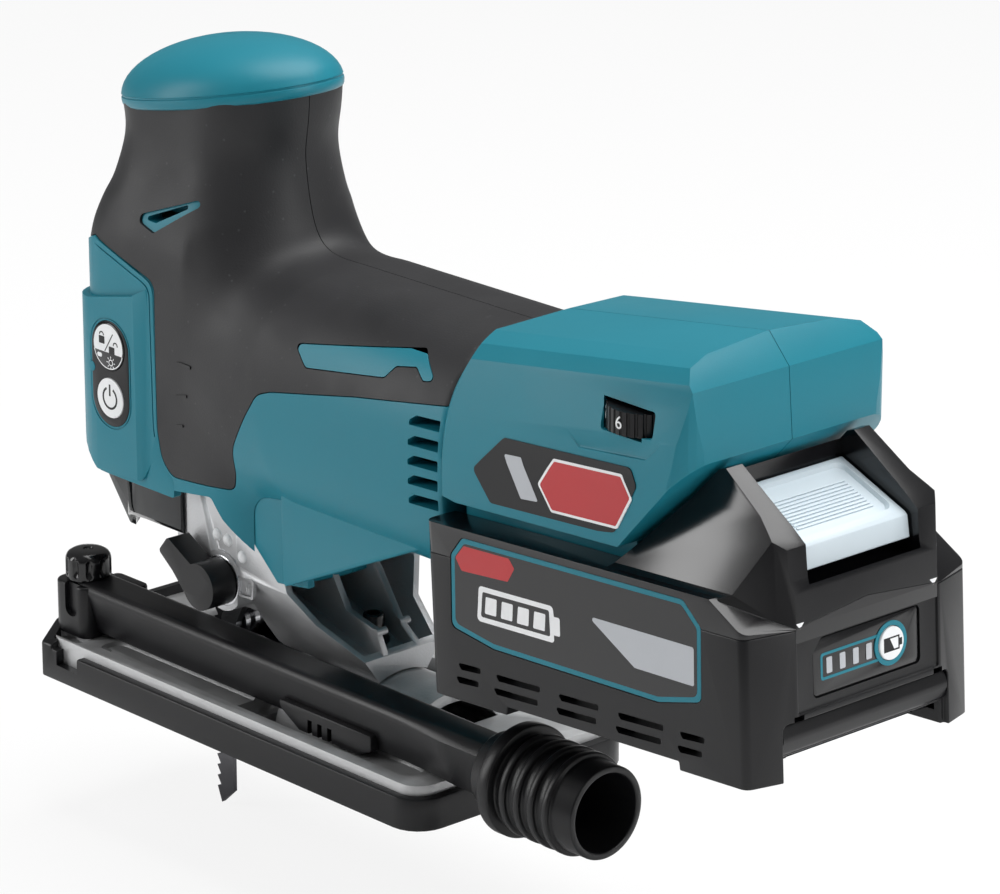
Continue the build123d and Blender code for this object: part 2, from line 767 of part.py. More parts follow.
# Rubber skins, one on each half
with BuildPart() as grip_left:
    add(rubber_skin.solids().sort_by(SortBy.VOLUME)[-1])
    split(bisect_by=Plane.XZ, keep=Keep.TOP)
grip_left.part.label = "grip_left"
export_step(grip_left.part, "parts/grip_left.step")

with BuildPart() as grip_right:
    add(rubber_skin.solids().sort_by(SortBy.VOLUME)[-1])
    split(bisect_by=Plane.XZ, keep=Keep.BOTTOM)
grip_right.part.label = "grip_right"
export_step(grip_right.part, "parts/grip_right.step")

# Screws that hold the halves together
with BuildPart() as housing_screws:
    add(screw_solids(0))
housing_screws.part.label = "housing_screws"
export_step(housing_screws.part, "parts/housing_screws.step")

# Gear housing: the casting that carries the drive train and stands on the arch of the base
bush_radius = plunger_radius + bush_wall
casting_length = casting_rear - casting_front
casting_inside = casting_half - casting_wall
neck_inside = casting_neck_half - casting_wall
lug_inner = 9.8
with BuildPart() as gear_housing:
    with BuildSketch(Plane.XY.offset(shelf_bottom)):
        with Locations((room_middle, 0)):
            RectangleRounded(casting_length, 2 * casting_half, 5)
    extrude(amount=casting_neck_z - shelf_bottom)
    with BuildSketch(Plane.XY.offset(casting_neck_z)):
        with Locations((neck_middle, 0)):
            RectangleRounded(neck_length, 2 * casting_neck_half, 10)
    extrude(amount=casting_top - casting_neck_z)
    rod((blade_x, 0, casting_top), (0, 0, 1), bush_boss_radius, bush_top - casting_top)
    with BuildSketch(Plane.XY.offset(flank_top)):
        with Locations(((lower_front + casting_rear) / 2, 0)):
            RectangleRounded(casting_rear - lower_front, 2 * casting_half, 5)
    extrude(amount=shelf_bottom - flank_top)
    # Flanks that draw in towards the foot
    flank = [(casting_half, flank_top), (foot_half, foot_top), (-foot_half, foot_top), (-casting_half, flank_top)]
    with BuildSketch(Plane.YZ.offset(lower_front)):
        Polygon(*flank, align=None)
    extrude(amount=foot_front + 5 - lower_front)
    # Tail with the foot
    tail = [
        (foot_front, arch_radius - 4),
        (foot_rear, arch_radius - 4),
        (foot_rear, foot_top - 1),
        (foot_rear - 9, foot_top + 4.5),
        (foot_front + 5, flank_top + 2),
        (casting_rear - 2, flank_top + 2),
        (casting_rear - 2, foot_top),
    ]
    prism(Plane.XZ, tail, foot_half)
    for side in (-1, 1):
        pocket = sorted((side * rib_half, side * (foot_half - 2 * rib_half)))
        box_between((foot_front + 6, foot_rear - 1), pocket, (foot_top - 1.5, flank_top + 5), Mode.SUBTRACT)
    rod((bolt_x, 0, foot_top - 3), (0, 0, 1), bolt_head_radius + 0.5, 14)
    rod((lower_front - 1, 0, 0), (1, 0, 0), arch_radius + gap, foot_rear - lower_front + 2, Mode.SUBTRACT)
    rod((bolt_x, 0, 0), (0, 0, 1), bolt_radius + parting / 2, 36.5, Mode.SUBTRACT)
    # Chamber of the gear, open to the front
    box_between(
        (casting_front - 1, bearing_wall_front), (-casting_inside, casting_inside), (shelf_top, casting_neck_z), Mode.SUBTRACT
    )
    box_between(
        (casting_front - 1, bearing_wall_front), (-neck_inside, neck_inside), (casting_neck_z - 1, chamber_top), Mode.SUBTRACT
    )
    # Room for the blade roller's holder, open to the front and the bottom
    box_between(
        (lower_front - 1, casting_rear - 8), (-casting_inside, casting_inside), (flank_top - 0.5, shelf_bottom), Mode.SUBTRACT
    )
    with BuildSketch(Plane.YZ.offset(lower_front - 1)):
        inner_flank = [(casting_inside, flank_top), (foot_half - 2.4, foot_top + 3.2)]
        Polygon(*inner_flank, *[(-y, z) for y, z in reversed(inner_flank)], align=None)
    extrude(amount=casting_rear - 8 - lower_front + 1, mode=Mode.SUBTRACT)
    box_between((lower_front - 1, -14), (-lug_inner, lug_inner), (foot_top - 2, flank_top), Mode.SUBTRACT)
    # Lugs for the holder's pin
    for side in (-1, 1):
        lug = sorted((side * lug_inner, side * (lug_inner + casting_wall)))
        box_between((holder_pivot[0] - 5, holder_pivot[0] + 5), lug, (holder_pivot[1] - 6, shelf_bottom + 1))
    # Runners inside the walls of the dust cover
    for side in (-1, 1):
        runner_half = dust_cover_half - dust_cover_wall - running
        runner = sorted((side * (runner_half - 2.4), side * runner_half))
        box_between((lower_front - 4.7, lower_front + 5), runner, (dust_cover_bottom + 4.5, shelf_bottom + 1))
    # Boss of the orbit lever
    rod((lever_pivot[0], -casting_half - 0.6, lever_pivot[1]), (0, 1, 0), lever_hub_radius + 2, 12)
    rod((holder_pivot[0], -lug_inner - 4, holder_pivot[1]), (0, 1, 0), holder_pin_radius + parting / 2, 28, Mode.SUBTRACT)
    rod((lever_pivot[0], -40, lever_pivot[1]), (0, 1, 0), lever_shaft_radius + running, 40, Mode.SUBTRACT)
    # Bearings and bushes
    bearing_front = casting_rear - motor_bearing_width
    rod((bearing_front, 0, motor_z), (1, 0, 0), motor_bearing_radius + parting / 2, 20, Mode.SUBTRACT)
    rod((bearing_wall_front - 1, 0, motor_z), (1, 0, 0), shaft_radius + 2, 20, Mode.SUBTRACT)
    rod((bearing_wall_front - 1, 0, gear_z), (1, 0, 0), gear_bearing_radius + parting / 2, gear_bearing_width + 1, Mode.SUBTRACT)
    rod((blade_x, 0, shelf_bottom - 1), (0, 0, 1), bush_radius + parting / 2, shelf_top - shelf_bottom + 2, Mode.SUBTRACT)
    rod((blade_x, 0, chamber_top - 1), (0, 0, 1), bush_radius + parting / 2, bush_top - chamber_top + 2, Mode.SUBTRACT)
    # Hollows that lighten the bearing wall
    for side in (-1, 1):
        hollow = sorted((side * (gear_bearing_radius + 1.5), side * neck_inside))
        box_between((bearing_wall_front + 4, casting_rear + 1), hollow, (shelf_top - 8, casting_neck_z - 3), Mode.SUBTRACT)
gear_housing.part.label = "gear_housing"
export_step(gear_housing.part, "parts/gear_housing.step")

with BuildPart() as guide_bushes:
    ring((blade_x, 0, shelf_bottom), (0, 0, 1), bush_radius, plunger_radius + running, shelf_top - shelf_bottom)
    ring((blade_x, 0, chamber_top), (0, 0, 1), bush_radius, plunger_radius + running, bush_top - chamber_top)
guide_bushes.part.label = "guide_bushes"
export_step(guide_bushes.part, "parts/guide_bushes.step")

with BuildPart() as motor_bearings:
    ring((bearing_front, 0, motor_z), (1, 0, 0), motor_bearing_radius, shaft_radius + running, motor_bearing_width)
    ring((partition_front, 0, motor_z), (1, 0, 0), rear_bearing_radius, shaft_radius + running, rear_bearing_width)
motor_bearings.part.label = "motor_bearings"
export_step(motor_bearings.part, "parts/motor_bearings.step")

with BuildPart() as gear_bearing:
    ring(
        (bearing_wall_front, 0, gear_z), (1, 0, 0), gear_bearing_radius, gear_shaft_radius + running, gear_bearing_width
    )
gear_bearing.part.label = "gear_bearing"
export_step(gear_bearing.part, "parts/gear_bearing.step")

# Motor: laminated stator with six coils, rotor and fan
coil_count = 6
coil_radius = 3.8
coil_circle = (stator_bore + motor_radius) / 2
stator_length = stator_rear - stator_front
with BuildPart() as stator:
    ring((stator_front, 0, motor_z), (1, 0, 0), motor_radius, stator_bore, stator_length)
    for i in range(coil_count):
        turn = 2 * pi * i / coil_count
        coil = (stator_front - 1, coil_circle * cos(turn), motor_z + coil_circle * sin(turn))
        rod(coil, (1, 0, 0), coil_radius + parting, stator_length + 2, Mode.SUBTRACT)
stator.part.label = "stator"
export_step(stator.part, "parts/stator.step")

with BuildPart() as stator_coils:
    for i in range(coil_count):
        turn = 2 * pi * i / coil_count
        coil = (stator_front - 2.2, coil_circle * cos(turn), motor_z + coil_circle * sin(turn))
        rod(coil, (1, 0, 0), coil_radius, stator_length + 4.4)
stator_coils.part.label = "stator_coils"
export_step(stator_coils.part, "parts/stator_coils.step")

pinion_front = gear_front + 0.5
with BuildPart() as rotor_shaft:
    with BuildSketch(Plane.YZ.offset(pinion_front)):
        with Locations((0, motor_z)):
            Polygon(*gear_points(pinion_teeth, 0.25, 90), align=None)
    extrude(amount=gear_width - 0.5)
    shaft_start = gear_front + gear_width - 1
    rod((shaft_start, 0, motor_z), (1, 0, 0), shaft_radius, partition_front + rear_bearing_width - 0.1 - shaft_start)
rotor_shaft.part.label = "rotor_shaft"
export_step(rotor_shaft.part, "parts/rotor_shaft.step")

with BuildPart() as rotor_core:
    ring((stator_front + 1, 0, motor_z), (1, 0, 0), stator_bore - rotor_gap, shaft_radius, stator_length - 2)
rotor_core.part.label = "rotor_core"
export_step(rotor_core.part, "parts/rotor_core.step")

fan_blades = 11
with BuildPart() as fan:
    rod((fan_front, 0, motor_z), (1, 0, 0), fan_radius, 1.8)
    rod((fan_front, 0, motor_z), (1, 0, 0), 8.0, fan_width)
    with BuildSketch(Plane.YZ.offset(fan_front + 1.0)):
        with Locations((0, motor_z)):
            with PolarLocations((fan_radius + 7) / 2, fan_blades):
                Rectangle(fan_radius - 8.0, 1.4)
    extrude(amount=fan_width - 1.0)
    rod((fan_front - 1, 0, motor_z), (1, 0, 0), shaft_radius, fan_width + 2, Mode.SUBTRACT)
fan.part.label = "fan"
export_step(fan.part, "parts/fan.step")

# Crank gear with its disc, and the pin that stops short of the yoke
crank_disc_radius = crank_radius + crank_pin_radius + 1.0
disc_front = gear_front - crank_disc_width
pin_end = gear_front + 0.2
with BuildPart() as drive_gear:
    with BuildSketch(Plane.YZ.offset(gear_front)):
        with Locations((0, gear_z)):
            Polygon(*gear_points(gear_teeth, 0.25, -90 + 180 / gear_teeth), align=None)
    extrude(amount=gear_width)
    rod((disc_front, 0, gear_z), (1, 0, 0), crank_disc_radius, crank_disc_width)
    gear_rear = gear_front + gear_width
    shaft_end = bearing_wall_front + gear_bearing_width - 0.2
    rod((gear_rear, 0, gear_z), (1, 0, 0), gear_shaft_radius, shaft_end - gear_rear)
    rod((disc_front - 1, crank_radius, gear_z), (1, 0, 0), crank_pin_radius, pin_end - disc_front + 1, Mode.SUBTRACT)
drive_gear.part.label = "drive_gear"
export_step(drive_gear.part, "parts/drive_gear.step")

pin_front = yoke_rear + gap
with BuildPart() as crank_pin:
    rod((pin_front, crank_radius, gear_z), (1, 0, 0), crank_pin_radius, pin_end - pin_front)
crank_pin.part.label = "crank_pin"
export_step(crank_pin.part, "parts/crank_pin.step")

# Plunger with its yoke
with BuildPart() as plunger:
    rod((blade_x, 0, plunger_bottom), (0, 0, 1), plunger_radius, plunger_top - plunger_bottom)
plunger.part.label = "plunger"
export_step(plunger.part, "parts/plunger.step")

with BuildPart() as yoke:
    box_between(
        (yoke_front, yoke_rear), (-yoke_half_width, yoke_half_width), (gear_z - yoke_half_height, gear_z + yoke_half_height)
    )
    slot_reach = crank_radius + crank_pin_radius + 0.3
    slot_height = crank_pin_radius + 0.3
    box_between(
        (yoke_rear - 2.5, yoke_rear + 1), (-slot_reach, slot_reach), (gear_z - slot_height, gear_z + slot_height), Mode.SUBTRACT
    )
    rod((blade_x, 0, plunger_bottom), (0, 0, 1), plunger_radius, plunger_top - plunger_bottom, Mode.SUBTRACT)
yoke.part.label = "yoke"
export_step(yoke.part, "parts/yoke.step")

# Blade, its clamp and the sleeve that is turned to let the blade go
blade_front = blade_x - blade_width / 2
blade_rear = blade_x + blade_width / 2
tang_top = plunger_bottom - 4
tang_bottom = clamp_bottom - 5
tooth_count = 22
tooth_depth = 1.6
with BuildPart() as blade:
    teeth = []
    tooth_pitch = (tang_bottom - blade_tip - 2) / tooth_count
    for i in range(tooth_count):
        tooth_top = tang_bottom - i * tooth_pitch
        teeth.append((blade_front + tooth_depth, tooth_top))
        teeth.append((blade_front, tooth_top - 0.2 * tooth_pitch))
    outline = [(blade_rear, blade_tip + 4.7), (blade_rear, tang_top), (blade_front, tang_top)]
    prism(Plane.XZ, outline + [(blade_front, tang_bottom + 1)] + teeth + [(blade_front + 1.8, blade_tip)], blade_thickness / 2)
blade.part.label = "blade"
export_step(blade.part, "parts/blade.step")

with BuildPart() as blade_clamp:
    rod((blade_x, 0, clamp_bottom), (0, 0, 1), clamp_radius, plunger_bottom - clamp_bottom)
    slot_half_thickness = blade_thickness / 2 + parting
    box_between(
        (blade_front - parting, blade_rear + parting),
        (-slot_half_thickness, slot_half_thickness),
        (clamp_bottom - 1, tang_top + parting),
        Mode.SUBTRACT,
    )
blade_clamp.part.label = "blade_clamp"
export_step(blade_clamp.part, "parts/blade_clamp.step")

with BuildPart() as clamp_sleeve:
    ring((blade_x, 0, sleeve_bottom), (0, 0, 1), sleeve_radius, clamp_radius + running, sleeve_height)
    with Locations((blade_x, 0, sleeve_bottom + sleeve_height / 2)):
        with PolarLocations(sleeve_radius + 0.4, 16):
            Cylinder(1.0, sleeve_height - 4, mode=Mode.SUBTRACT)
clamp_sleeve.part.label = "clamp_sleeve"
export_step(clamp_sleeve.part, "parts/clamp_sleeve.step")

# Blade roller on its swinging holder
roller_x = blade_rear + roller_radius + 0.2
with BuildPart() as blade_roller:
    ring(
        (roller_x, -roller_half_width, roller_z),
        (0, 1, 0),
        roller_radius,
        roller_pin_radius + running,
        2 * roller_half_width,
    )
    with BuildSketch(Plane.XZ.offset(-0.9)):
        with Locations((roller_x, roller_z)):
            Circle(roller_radius + 1)
            Circle(roller_radius - 1.2, mode=Mode.SUBTRACT)
    extrude(amount=1.8, mode=Mode.SUBTRACT)
blade_roller.part.label = "blade_roller"
export_step(blade_roller.part, "parts/blade_roller.step")

fork_inner = roller_half_width + gap
fork_outer = fork_inner + 2.2
with BuildPart() as roller_pin:
    rod((roller_x, -fork_outer, roller_z), (0, 1, 0), roller_pin_radius, 2 * fork_outer)
roller_pin.part.label = "roller_pin"
export_step(roller_pin.part, "parts/roller_pin.step")

with BuildPart() as roller_holder:
    run, drop = roller_x - holder_pivot[0], roller_z - holder_pivot[1]
    arm_length = hypot(run, drop)
    across = (-2.6 * drop / arm_length, 2.6 * run / arm_length)
    arm = [
        (holder_pivot[0] + across[0], holder_pivot[1] + across[1]),
        (roller_x + across[0], roller_z + across[1]),
        (roller_x - across[0], roller_z - across[1]),
        (holder_pivot[0] - across[0], holder_pivot[1] - across[1]),
    ]
    prism(Plane.XZ, arm, fork_outer)
    rod((roller_x, -fork_outer, roller_z), (0, 1, 0), 3.2, 2 * fork_outer)
    rod((holder_pivot[0], gap - lug_inner, holder_pivot[1]), (0, 1, 0), 4.5, 2 * (lug_inner - gap))
    fork_rear = (roller_x + holder_pivot[0]) / 2
    box_between(
        (blade_rear - 5, roller_x + roller_radius + 1), (-fork_inner, fork_inner), (0, roller_z + roller_radius + 1), Mode.SUBTRACT
    )
    rod((holder_pivot[0], -20, holder_pivot[1]), (0, 1, 0), holder_pin_radius + running, 40, Mode.SUBTRACT)
    rod((roller_x, -20, roller_z), (0, 1, 0), roller_pin_radius + parting / 2, 40, Mode.SUBTRACT)
roller_holder.part.label = "roller_holder"
export_step(roller_holder.part, "parts/roller_holder.step")

with BuildPart() as holder_pin:
    pin_half = lug_inner + casting_wall
    rod((holder_pivot[0], -pin_half, holder_pivot[1]), (0, 1, 0), holder_pin_radius, 2 * pin_half)
holder_pin.part.label = "holder_pin"
export_step(holder_pin.part, "parts/holder_pin.step")

# Orbit lever on the left of the gear housing
hub_inner = casting_half + 0.6 + gap
with BuildPart() as orbit_lever:
    rod((lever_pivot[0], -hub_inner, lever_pivot[1]), (0, -1, 0), lever_hub_radius, lever_out - hub_inner)
    rod((lever_pivot[0], -hub_inner - 1, lever_pivot[1]), (0, 1, 0), lever_shaft_radius, 12)
    reach = (lever_length * cos(radians(lever_angle)), lever_length * sin(radians(lever_angle)))
    side_step = (-reach[1] / lever_length, reach[0] / lever_length)
    grip_outline = []
    for share, half in ((0, 5.5), (1, 3.2), (1, -3.2), (0, -5.5)):
        grip_outline.append(
            (
                lever_pivot[0] + share * reach[0] + half * side_step[0],
                lever_pivot[1] + share * reach[1] + half * side_step[1],
            )
        )
    with BuildSketch(Plane.XZ.offset(lever_out - 6)):
        Polygon(*grip_outline, align=None)
    extrude(amount=6)
orbit_lever.part.label = "orbit_lever"
export_step(orbit_lever.part, "parts/orbit_lever.step")

# Front cover with the two switches on its left side
switch_face = cover_half - switch_plate
switch_heights = (switch_z - switch_pitch / 2, switch_z + switch_pitch / 2)
with BuildPart() as front_cover:
    add(front_cover_form(cover_wall))
    with BuildSketch(Plane.XZ.offset(switch_face)):
        with Locations((switch_x, switch_z)):
            SlotOverall(switch_height, switch_width, rotation=90)
    extrude(amount=5, mode=Mode.SUBTRACT)
    for height in switch_heights:
        rod((switch_x, -40, height), (0, 1, 0), switch_button_radius + gap / 2, 20, Mode.SUBTRACT)
front_cover.part.label = "front_cover"
export_step(front_cover.part, "parts/front_cover.step")

with BuildPart() as switch_panel:
    with BuildSketch(Plane.XZ.offset(switch_face)):
        with Locations((switch_x, switch_z)):
            SlotOverall(switch_height - 2 * parting, switch_width - 2 * parting, rotation=90)
    extrude(amount=switch_plate + 0.2)
    for height in switch_heights:
        rod((switch_x, -40, height), (0, 1, 0), switch_button_radius + gap / 2, 20, Mode.SUBTRACT)
switch_panel.part.label = "switch_panel"
export_step(switch_panel.part, "parts/switch_panel.step")

button_inner = cover_half - cover_wall + switch_travel
button_length = cover_half + 0.6 - button_inner
with BuildPart() as power_button:
    rod((switch_x, -button_inner, switch_heights[0]), (0, -1, 0), switch_button_radius, button_length)
power_button.part.label = "power_button"
export_step(power_button.part, "parts/power_button.step")

with BuildPart() as light_button:
    rod((switch_x, -button_inner, switch_heights[1]), (0, -1, 0), switch_button_radius, button_length)
light_button.part.label = "light_button"
export_step(light_button.part, "parts/light_button.step")

# Clear dust cover in front of the blade clamp, with a lip for the finger
cover_back = lower_front - 1.2
with BuildPart() as dust_cover:
    plan_length = 2 * (cover_back - dust_cover_front)
    with BuildSketch(Plane.XY.offset(dust_cover_bottom)):
        with Locations((cover_back, 0)):
            RectangleRounded(plan_length, 2 * dust_cover_half, 14)
            RectangleRounded(
                plan_length - 2 * dust_cover_wall,
                2 * (dust_cover_half - dust_cover_wall),
                14 - dust_cover_wall,
                mode=Mode.SUBTRACT,
            )
        with Locations((cover_back + plan_length / 2, 0)):
            Rectangle(plan_length, 100, mode=Mode.SUBTRACT)
    extrude(amount=dust_cover_top - dust_cover_bottom)
    lip_top = dust_cover_top - 4.5
    box_between((dust_cover_front - 4, dust_cover_front + dust_cover_wall), (-10, 10), (lip_top - 2.5, lip_top))
    # Lower corners cut off, so that the cover clears the base when the body tilts
    for side in (-1, 1):
        corner = [
            (side * (dust_cover_half + 1), dust_cover_bottom + 9.5),
            (side * (dust_cover_half + 1), dust_cover_bottom - 1),
            (side * (dust_cover_half - 9.5), dust_cover_bottom - 1),
        ]
        with BuildSketch(Plane.YZ.offset(cover_front - 10)):
            Polygon(*corner, align=None)
        extrude(amount=60, mode=Mode.SUBTRACT)
dust_cover.part.label = "dust_cover"
export_step(dust_cover.part, "parts/dust_cover.step")

# Work light under the shelf of the gear housing
with BuildPart() as work_light:
    box_between((casting_front + 1, casting_front + 7), (-16, -8), (shelf_bottom - 2.8, shelf_bottom))
    fillet(work_light.faces().sort_by(Axis.Z)[0].edges(), 1.0)
work_light.part.label = "work_light"
export_step(work_light.part, "parts/work_light.step")

# Speed dial: a ribbed wheel that shows in a window on the left of the rear box
dial_y = -(box_half + dial_stand_out - dial_radius)
with BuildPart() as speed_dial:
    rod((dial_x, dial_y, dial_z - dial_height / 2), (0, 0, 1), dial_radius, dial_height)
    with Locations((dial_x, dial_y, dial_z)):
        with PolarLocations(dial_radius, 30):
            Cylinder(0.45, dial_height + 2, mode=Mode.SUBTRACT)
speed_dial.part.label = "speed_dial"
export_step(speed_dial.part, "parts/speed_dial.step")


def on_rail(u, v, w):
    """A point of the rail's frame: along the rail, across it and up from it."""
    return rail.from_local_coords((u, v, w))


# Terminal block, its blades and the control board in the rear box
blade_terminal_v = 9.0
with BuildPart(rail) as terminal_block:
    box_between((terminal_start, terminal_end), (-terminal_half, terminal_half), (box_floor, terminal_top))
    for side in (-1, 1):
        middle = side * blade_terminal_v
        box_between((17.9, 34.1), (middle - 0.7, middle + 0.7), (box_floor - 1, terminal_top - 0.9), Mode.SUBTRACT)
terminal_block.part.label = "terminal_block"
export_step(terminal_block.part, "parts/terminal_block.step")

with BuildPart(rail) as terminal_blades:
    for side in (-1, 1):
        middle = side * blade_terminal_v
        box_between((18, 34), (middle - 0.6, middle + 0.6), (rail_bottom + 2.6, terminal_top - 1))
terminal_blades.part.label = "terminal_blades"
export_step(terminal_blades.part, "parts/terminal_blades.step")

with BuildPart(rail) as control_board:
    board_bottom = terminal_top + 0.2
    box_between((8, 66), (-26, 26), (board_bottom, board_bottom + 1.6))
    box_between((24, 40), (-9, 9), (board_bottom + 1, board_bottom + 8))
    for side in (-1, 1):
        with Locations((52, 14 * side, board_bottom + 6)):
            Cylinder(5, 12)
control_board.part.label = "control_board"
export_step(control_board.part, "parts/control_board.step")


def battery_plan(inset):
    """Plan of the battery, its rear corners cut off."""
    end, half = battery_length - inset, battery_half - inset
    return [(inset, -half), (end - 4, -half), (end, 13.5 - half), (end, half - 13.5), (end - 4, half), (inset, half)]


# Battery: lower case
charge_top, charge_bottom, charge_half = -14.5, -29.4, 18.5
foot_length = 27.5
check_place = (8.5, -22.0)
check_radius = 4.2
with BuildPart(rail) as battery_lower_case:
    with BuildSketch(rail.offset(battery_bottom)):
        Polygon(*battery_plan(0), align=None)
    extrude(amount=battery_split - battery_bottom)
    fillet(battery_lower_case.edges().filter_by(Axis(rail.origin, rail.z_dir)), 3)
    box_between((foot_length, battery_length - foot_length), (-50, 50), (battery_bottom - 1, battery_bottom + 1.2), Mode.SUBTRACT)
    with BuildSketch(rail.offset(battery_bottom + battery_wall + 1)):
        Polygon(*battery_plan(battery_wall), align=None)
    extrude(amount=60, mode=Mode.SUBTRACT)
    box_between(
        (battery_length - 0.9, battery_length + 5), (-charge_half, charge_half), (charge_bottom, charge_top), Mode.SUBTRACT
    )
    hole_start = on_rail(battery_length - 8, check_place[0], check_place[1])
    rod(hole_start, rail.x_dir, check_radius + gap / 2, 10, Mode.SUBTRACT)
battery_lower_case.part.label = "battery_lower_case"
export_step(battery_lower_case.part, "parts/battery_lower_case.step")

# Slope on the rear of the hump, where the release button slides
fall = (hump_rear[0] - hump_top[0], hump_rear[1] - hump_top[1])
slope_length = hypot(fall[0], fall[1])
slope_down = rail.x_dir * (fall[0] / slope_length) + rail.z_dir * (fall[1] / slope_length)
slope_out = rail.x_dir * (-fall[1] / slope_length) + rail.z_dir * (fall[0] / slope_length)
slope = Plane(origin=on_rail(hump_top[0], 0, hump_top[1]), x_dir=slope_down, z_dir=slope_out)
recess_start, recess_depth = 2.5, 3.0
button_length_slope = slope_length - 2 * recess_start - button_travel - 2 * gap
button_start = recess_start + gap
with BuildPart(slope) as button_recess:
    box_between((recess_start, slope_length - recess_start), (-button_half - gap, button_half + gap), (-recess_depth, 5))
    box_between((button_start + 5, button_start + 11 + button_travel), (-6, 6), (-9, -recess_depth + 1))

# Battery: upper case with the head that hangs in the rails and the hump behind the rear box
channel_top = rail_bottom - gap
channel_end = 4 + rail_length + gap
head_half = rail_lip_inner - gap
flange_half = rail_web_inner - gap
with BuildPart(rail) as upper_form:
    profile = [
        (0, battery_split),
        (0, battery_shoulder - 2),
        (2, battery_shoulder),
        (hump_start - 5, battery_shoulder),
        (hump_start, battery_shoulder + 4.7),
        (hump_top[0] - 2.5, hump_top[1] - 1),
        hump_top,
        hump_rear,
        (battery_length, -1),
        (battery_length, battery_split),
    ]
    prism(rail_side, profile, battery_half)
    with BuildSketch(rail.offset(battery_split - 1)):
        Polygon(*battery_plan(0), align=None)
    extrude(amount=60, mode=Mode.INTERSECT)
    with BuildSketch(Plane(origin=rail.origin, x_dir=(0, 1, 0), z_dir=rail.x_dir)):
        half_section = [(battery_half, -20), (battery_half, battery_shoulder), (24, hump_top[1] + 1)]
        Polygon(*half_section, *[(-v, w) for v, w in reversed(half_section)], align=None)
    extrude(amount=battery_length + 10, mode=Mode.INTERSECT)
    box_between((-1, channel_end), (-rail_web_outer - 0.6, rail_web_outer + 0.6), (channel_top, 30), Mode.SUBTRACT)
    box_between((2, channel_end), (-head_half, head_half), (channel_top - 1, box_floor - gap))
    box_between((2, channel_end), (-flange_half, flange_half), (rail_bottom + rail_lip + gap, box_floor - gap))
    with BuildSketch(rail.offset(battery_split - 1)):
        Polygon(*battery_plan(battery_wall), align=None)
    extrude(amount=channel_top - 1.9 - battery_split + 1, mode=Mode.SUBTRACT)
    inside_hump = [(76, channel_top - 2.5), (93, 17), (95, 18.5), (105.5, 4), (108, channel_top - 2.5)]
    prism(rail_side, inside_hump, button_half + 1, Mode.SUBTRACT)
    for side in (-1, 1):
        middle = side * blade_terminal_v
        box_between((1, 36), (middle - 1.7, middle + 1.7), (rail_bottom + 1.5, 10), Mode.SUBTRACT)

with BuildPart() as battery_upper_case:
    add(upper_form.part)
    add(button_recess.part, mode=Mode.SUBTRACT)
battery_upper_case.part.label = "battery_upper_case"
export_step(battery_upper_case.part, "parts/battery_upper_case.step")

# Cells in two rows, lying across the battery
cell_bottom = battery_bottom + battery_wall + 1
cell_rows = (cell_bottom + cell_radius, cell_bottom + cell_radius + cell_row_pitch)
cell_span = battery_length - 2 * cell_end_room
cell_steps = int(cell_span / cell_least_pitch)
cell_places = []
for i in range(cell_steps + 1):
    for w in cell_rows:
        cell_places.append((cell_end_room + i * cell_span / cell_steps, w))
with BuildPart() as battery_cells:
    for u, w in cell_places:
        rod(on_rail(u, -cell_length / 2, w), (0, 1, 0), cell_radius, cell_length)
battery_cells.part.label = "battery_cells"
export_step(battery_cells.part, "parts/battery_cells.step")

with BuildPart(rail) as cell_holders:
    for side in (-1, 1):
        plate = sorted((side * 22, side * (battery_half - battery_wall - 0.7)))
        box_between((4, battery_length - 7), plate, (cell_bottom, channel_top - 2.1))
    for u, w in cell_places:
        rod(on_rail(u, -cell_length / 2 - parting / 2, w), (0, 1, 0), cell_radius + parting / 2, cell_length + parting, Mode.SUBTRACT)
cell_holders.part.label = "cell_holders"
export_step(cell_holders.part, "parts/cell_holders.step")

with BuildPart(rail) as battery_board:
    board_w = cell_rows[1] + cell_radius + 0.3
    board_end = battery_length - 11.3
    box_between((board_end - 27, board_end), (-17, 17), (board_w, board_w + 1.6))
    box_between((board_end - 23, board_end - 13), (-10, 10), (board_w + 1, board_w + 5))
battery_board.part.label = "battery_board"
export_step(battery_board.part, "parts/battery_board.step")

with BuildPart(rail) as battery_contacts:
    for side in (-1, 1):
        for shift in (-1.3, 1.3):
            middle = side * blade_terminal_v + shift
            box_between((14, 35), (middle - 0.35, middle + 0.35), (rail_bottom + 1.5, 1.2))
battery_contacts.part.label = "battery_contacts"
export_step(battery_contacts.part, "parts/battery_contacts.step")

# Charge panel with its check button on the rear face
with BuildPart(rail) as charge_panel:
    box_between(
        (battery_length - 0.9, battery_length - 0.1),
        (parting - charge_half, charge_half - parting),
        (charge_bottom + parting, charge_top - parting),
    )
    rod(hole_start, rail.x_dir, check_radius + gap / 2, 10, Mode.SUBTRACT)
charge_panel.part.label = "charge_panel"
export_step(charge_panel.part, "parts/charge_panel.step")

with BuildPart() as check_button:
    check_start = on_rail(battery_length - 2.2, check_place[0], check_place[1])
    rod(check_start, rail.x_dir, check_radius, 2.5)
check_button.part.label = "check_button"
export_step(check_button.part, "parts/check_button.step")

# Release button with the latch behind it
with BuildPart(slope) as release_button:
    button_end = button_start + button_length_slope
    box_between((button_start, button_end), (-button_half, button_half), (gap - recess_depth, -0.2))
    for i in range(4):
        rib_start = button_start + 4 + i * 3.4
        box_between((rib_start, rib_start + 1.2), (4 - button_half, button_half - 4), (-0.8, 1), Mode.SUBTRACT)
release_button.part.label = "release_button"
export_step(release_button.part, "parts/release_button.step")

with BuildPart(slope) as latch:
    box_between((button_start + 6, button_start + 10), (-5, 5), (-8.5, gap - recess_depth))
    box_between((button_start + 5, button_start + 10), (-8, 8), (-9.5, -8.5))
latch.part.label = "latch"
export_step(latch.part, "parts/latch.step")
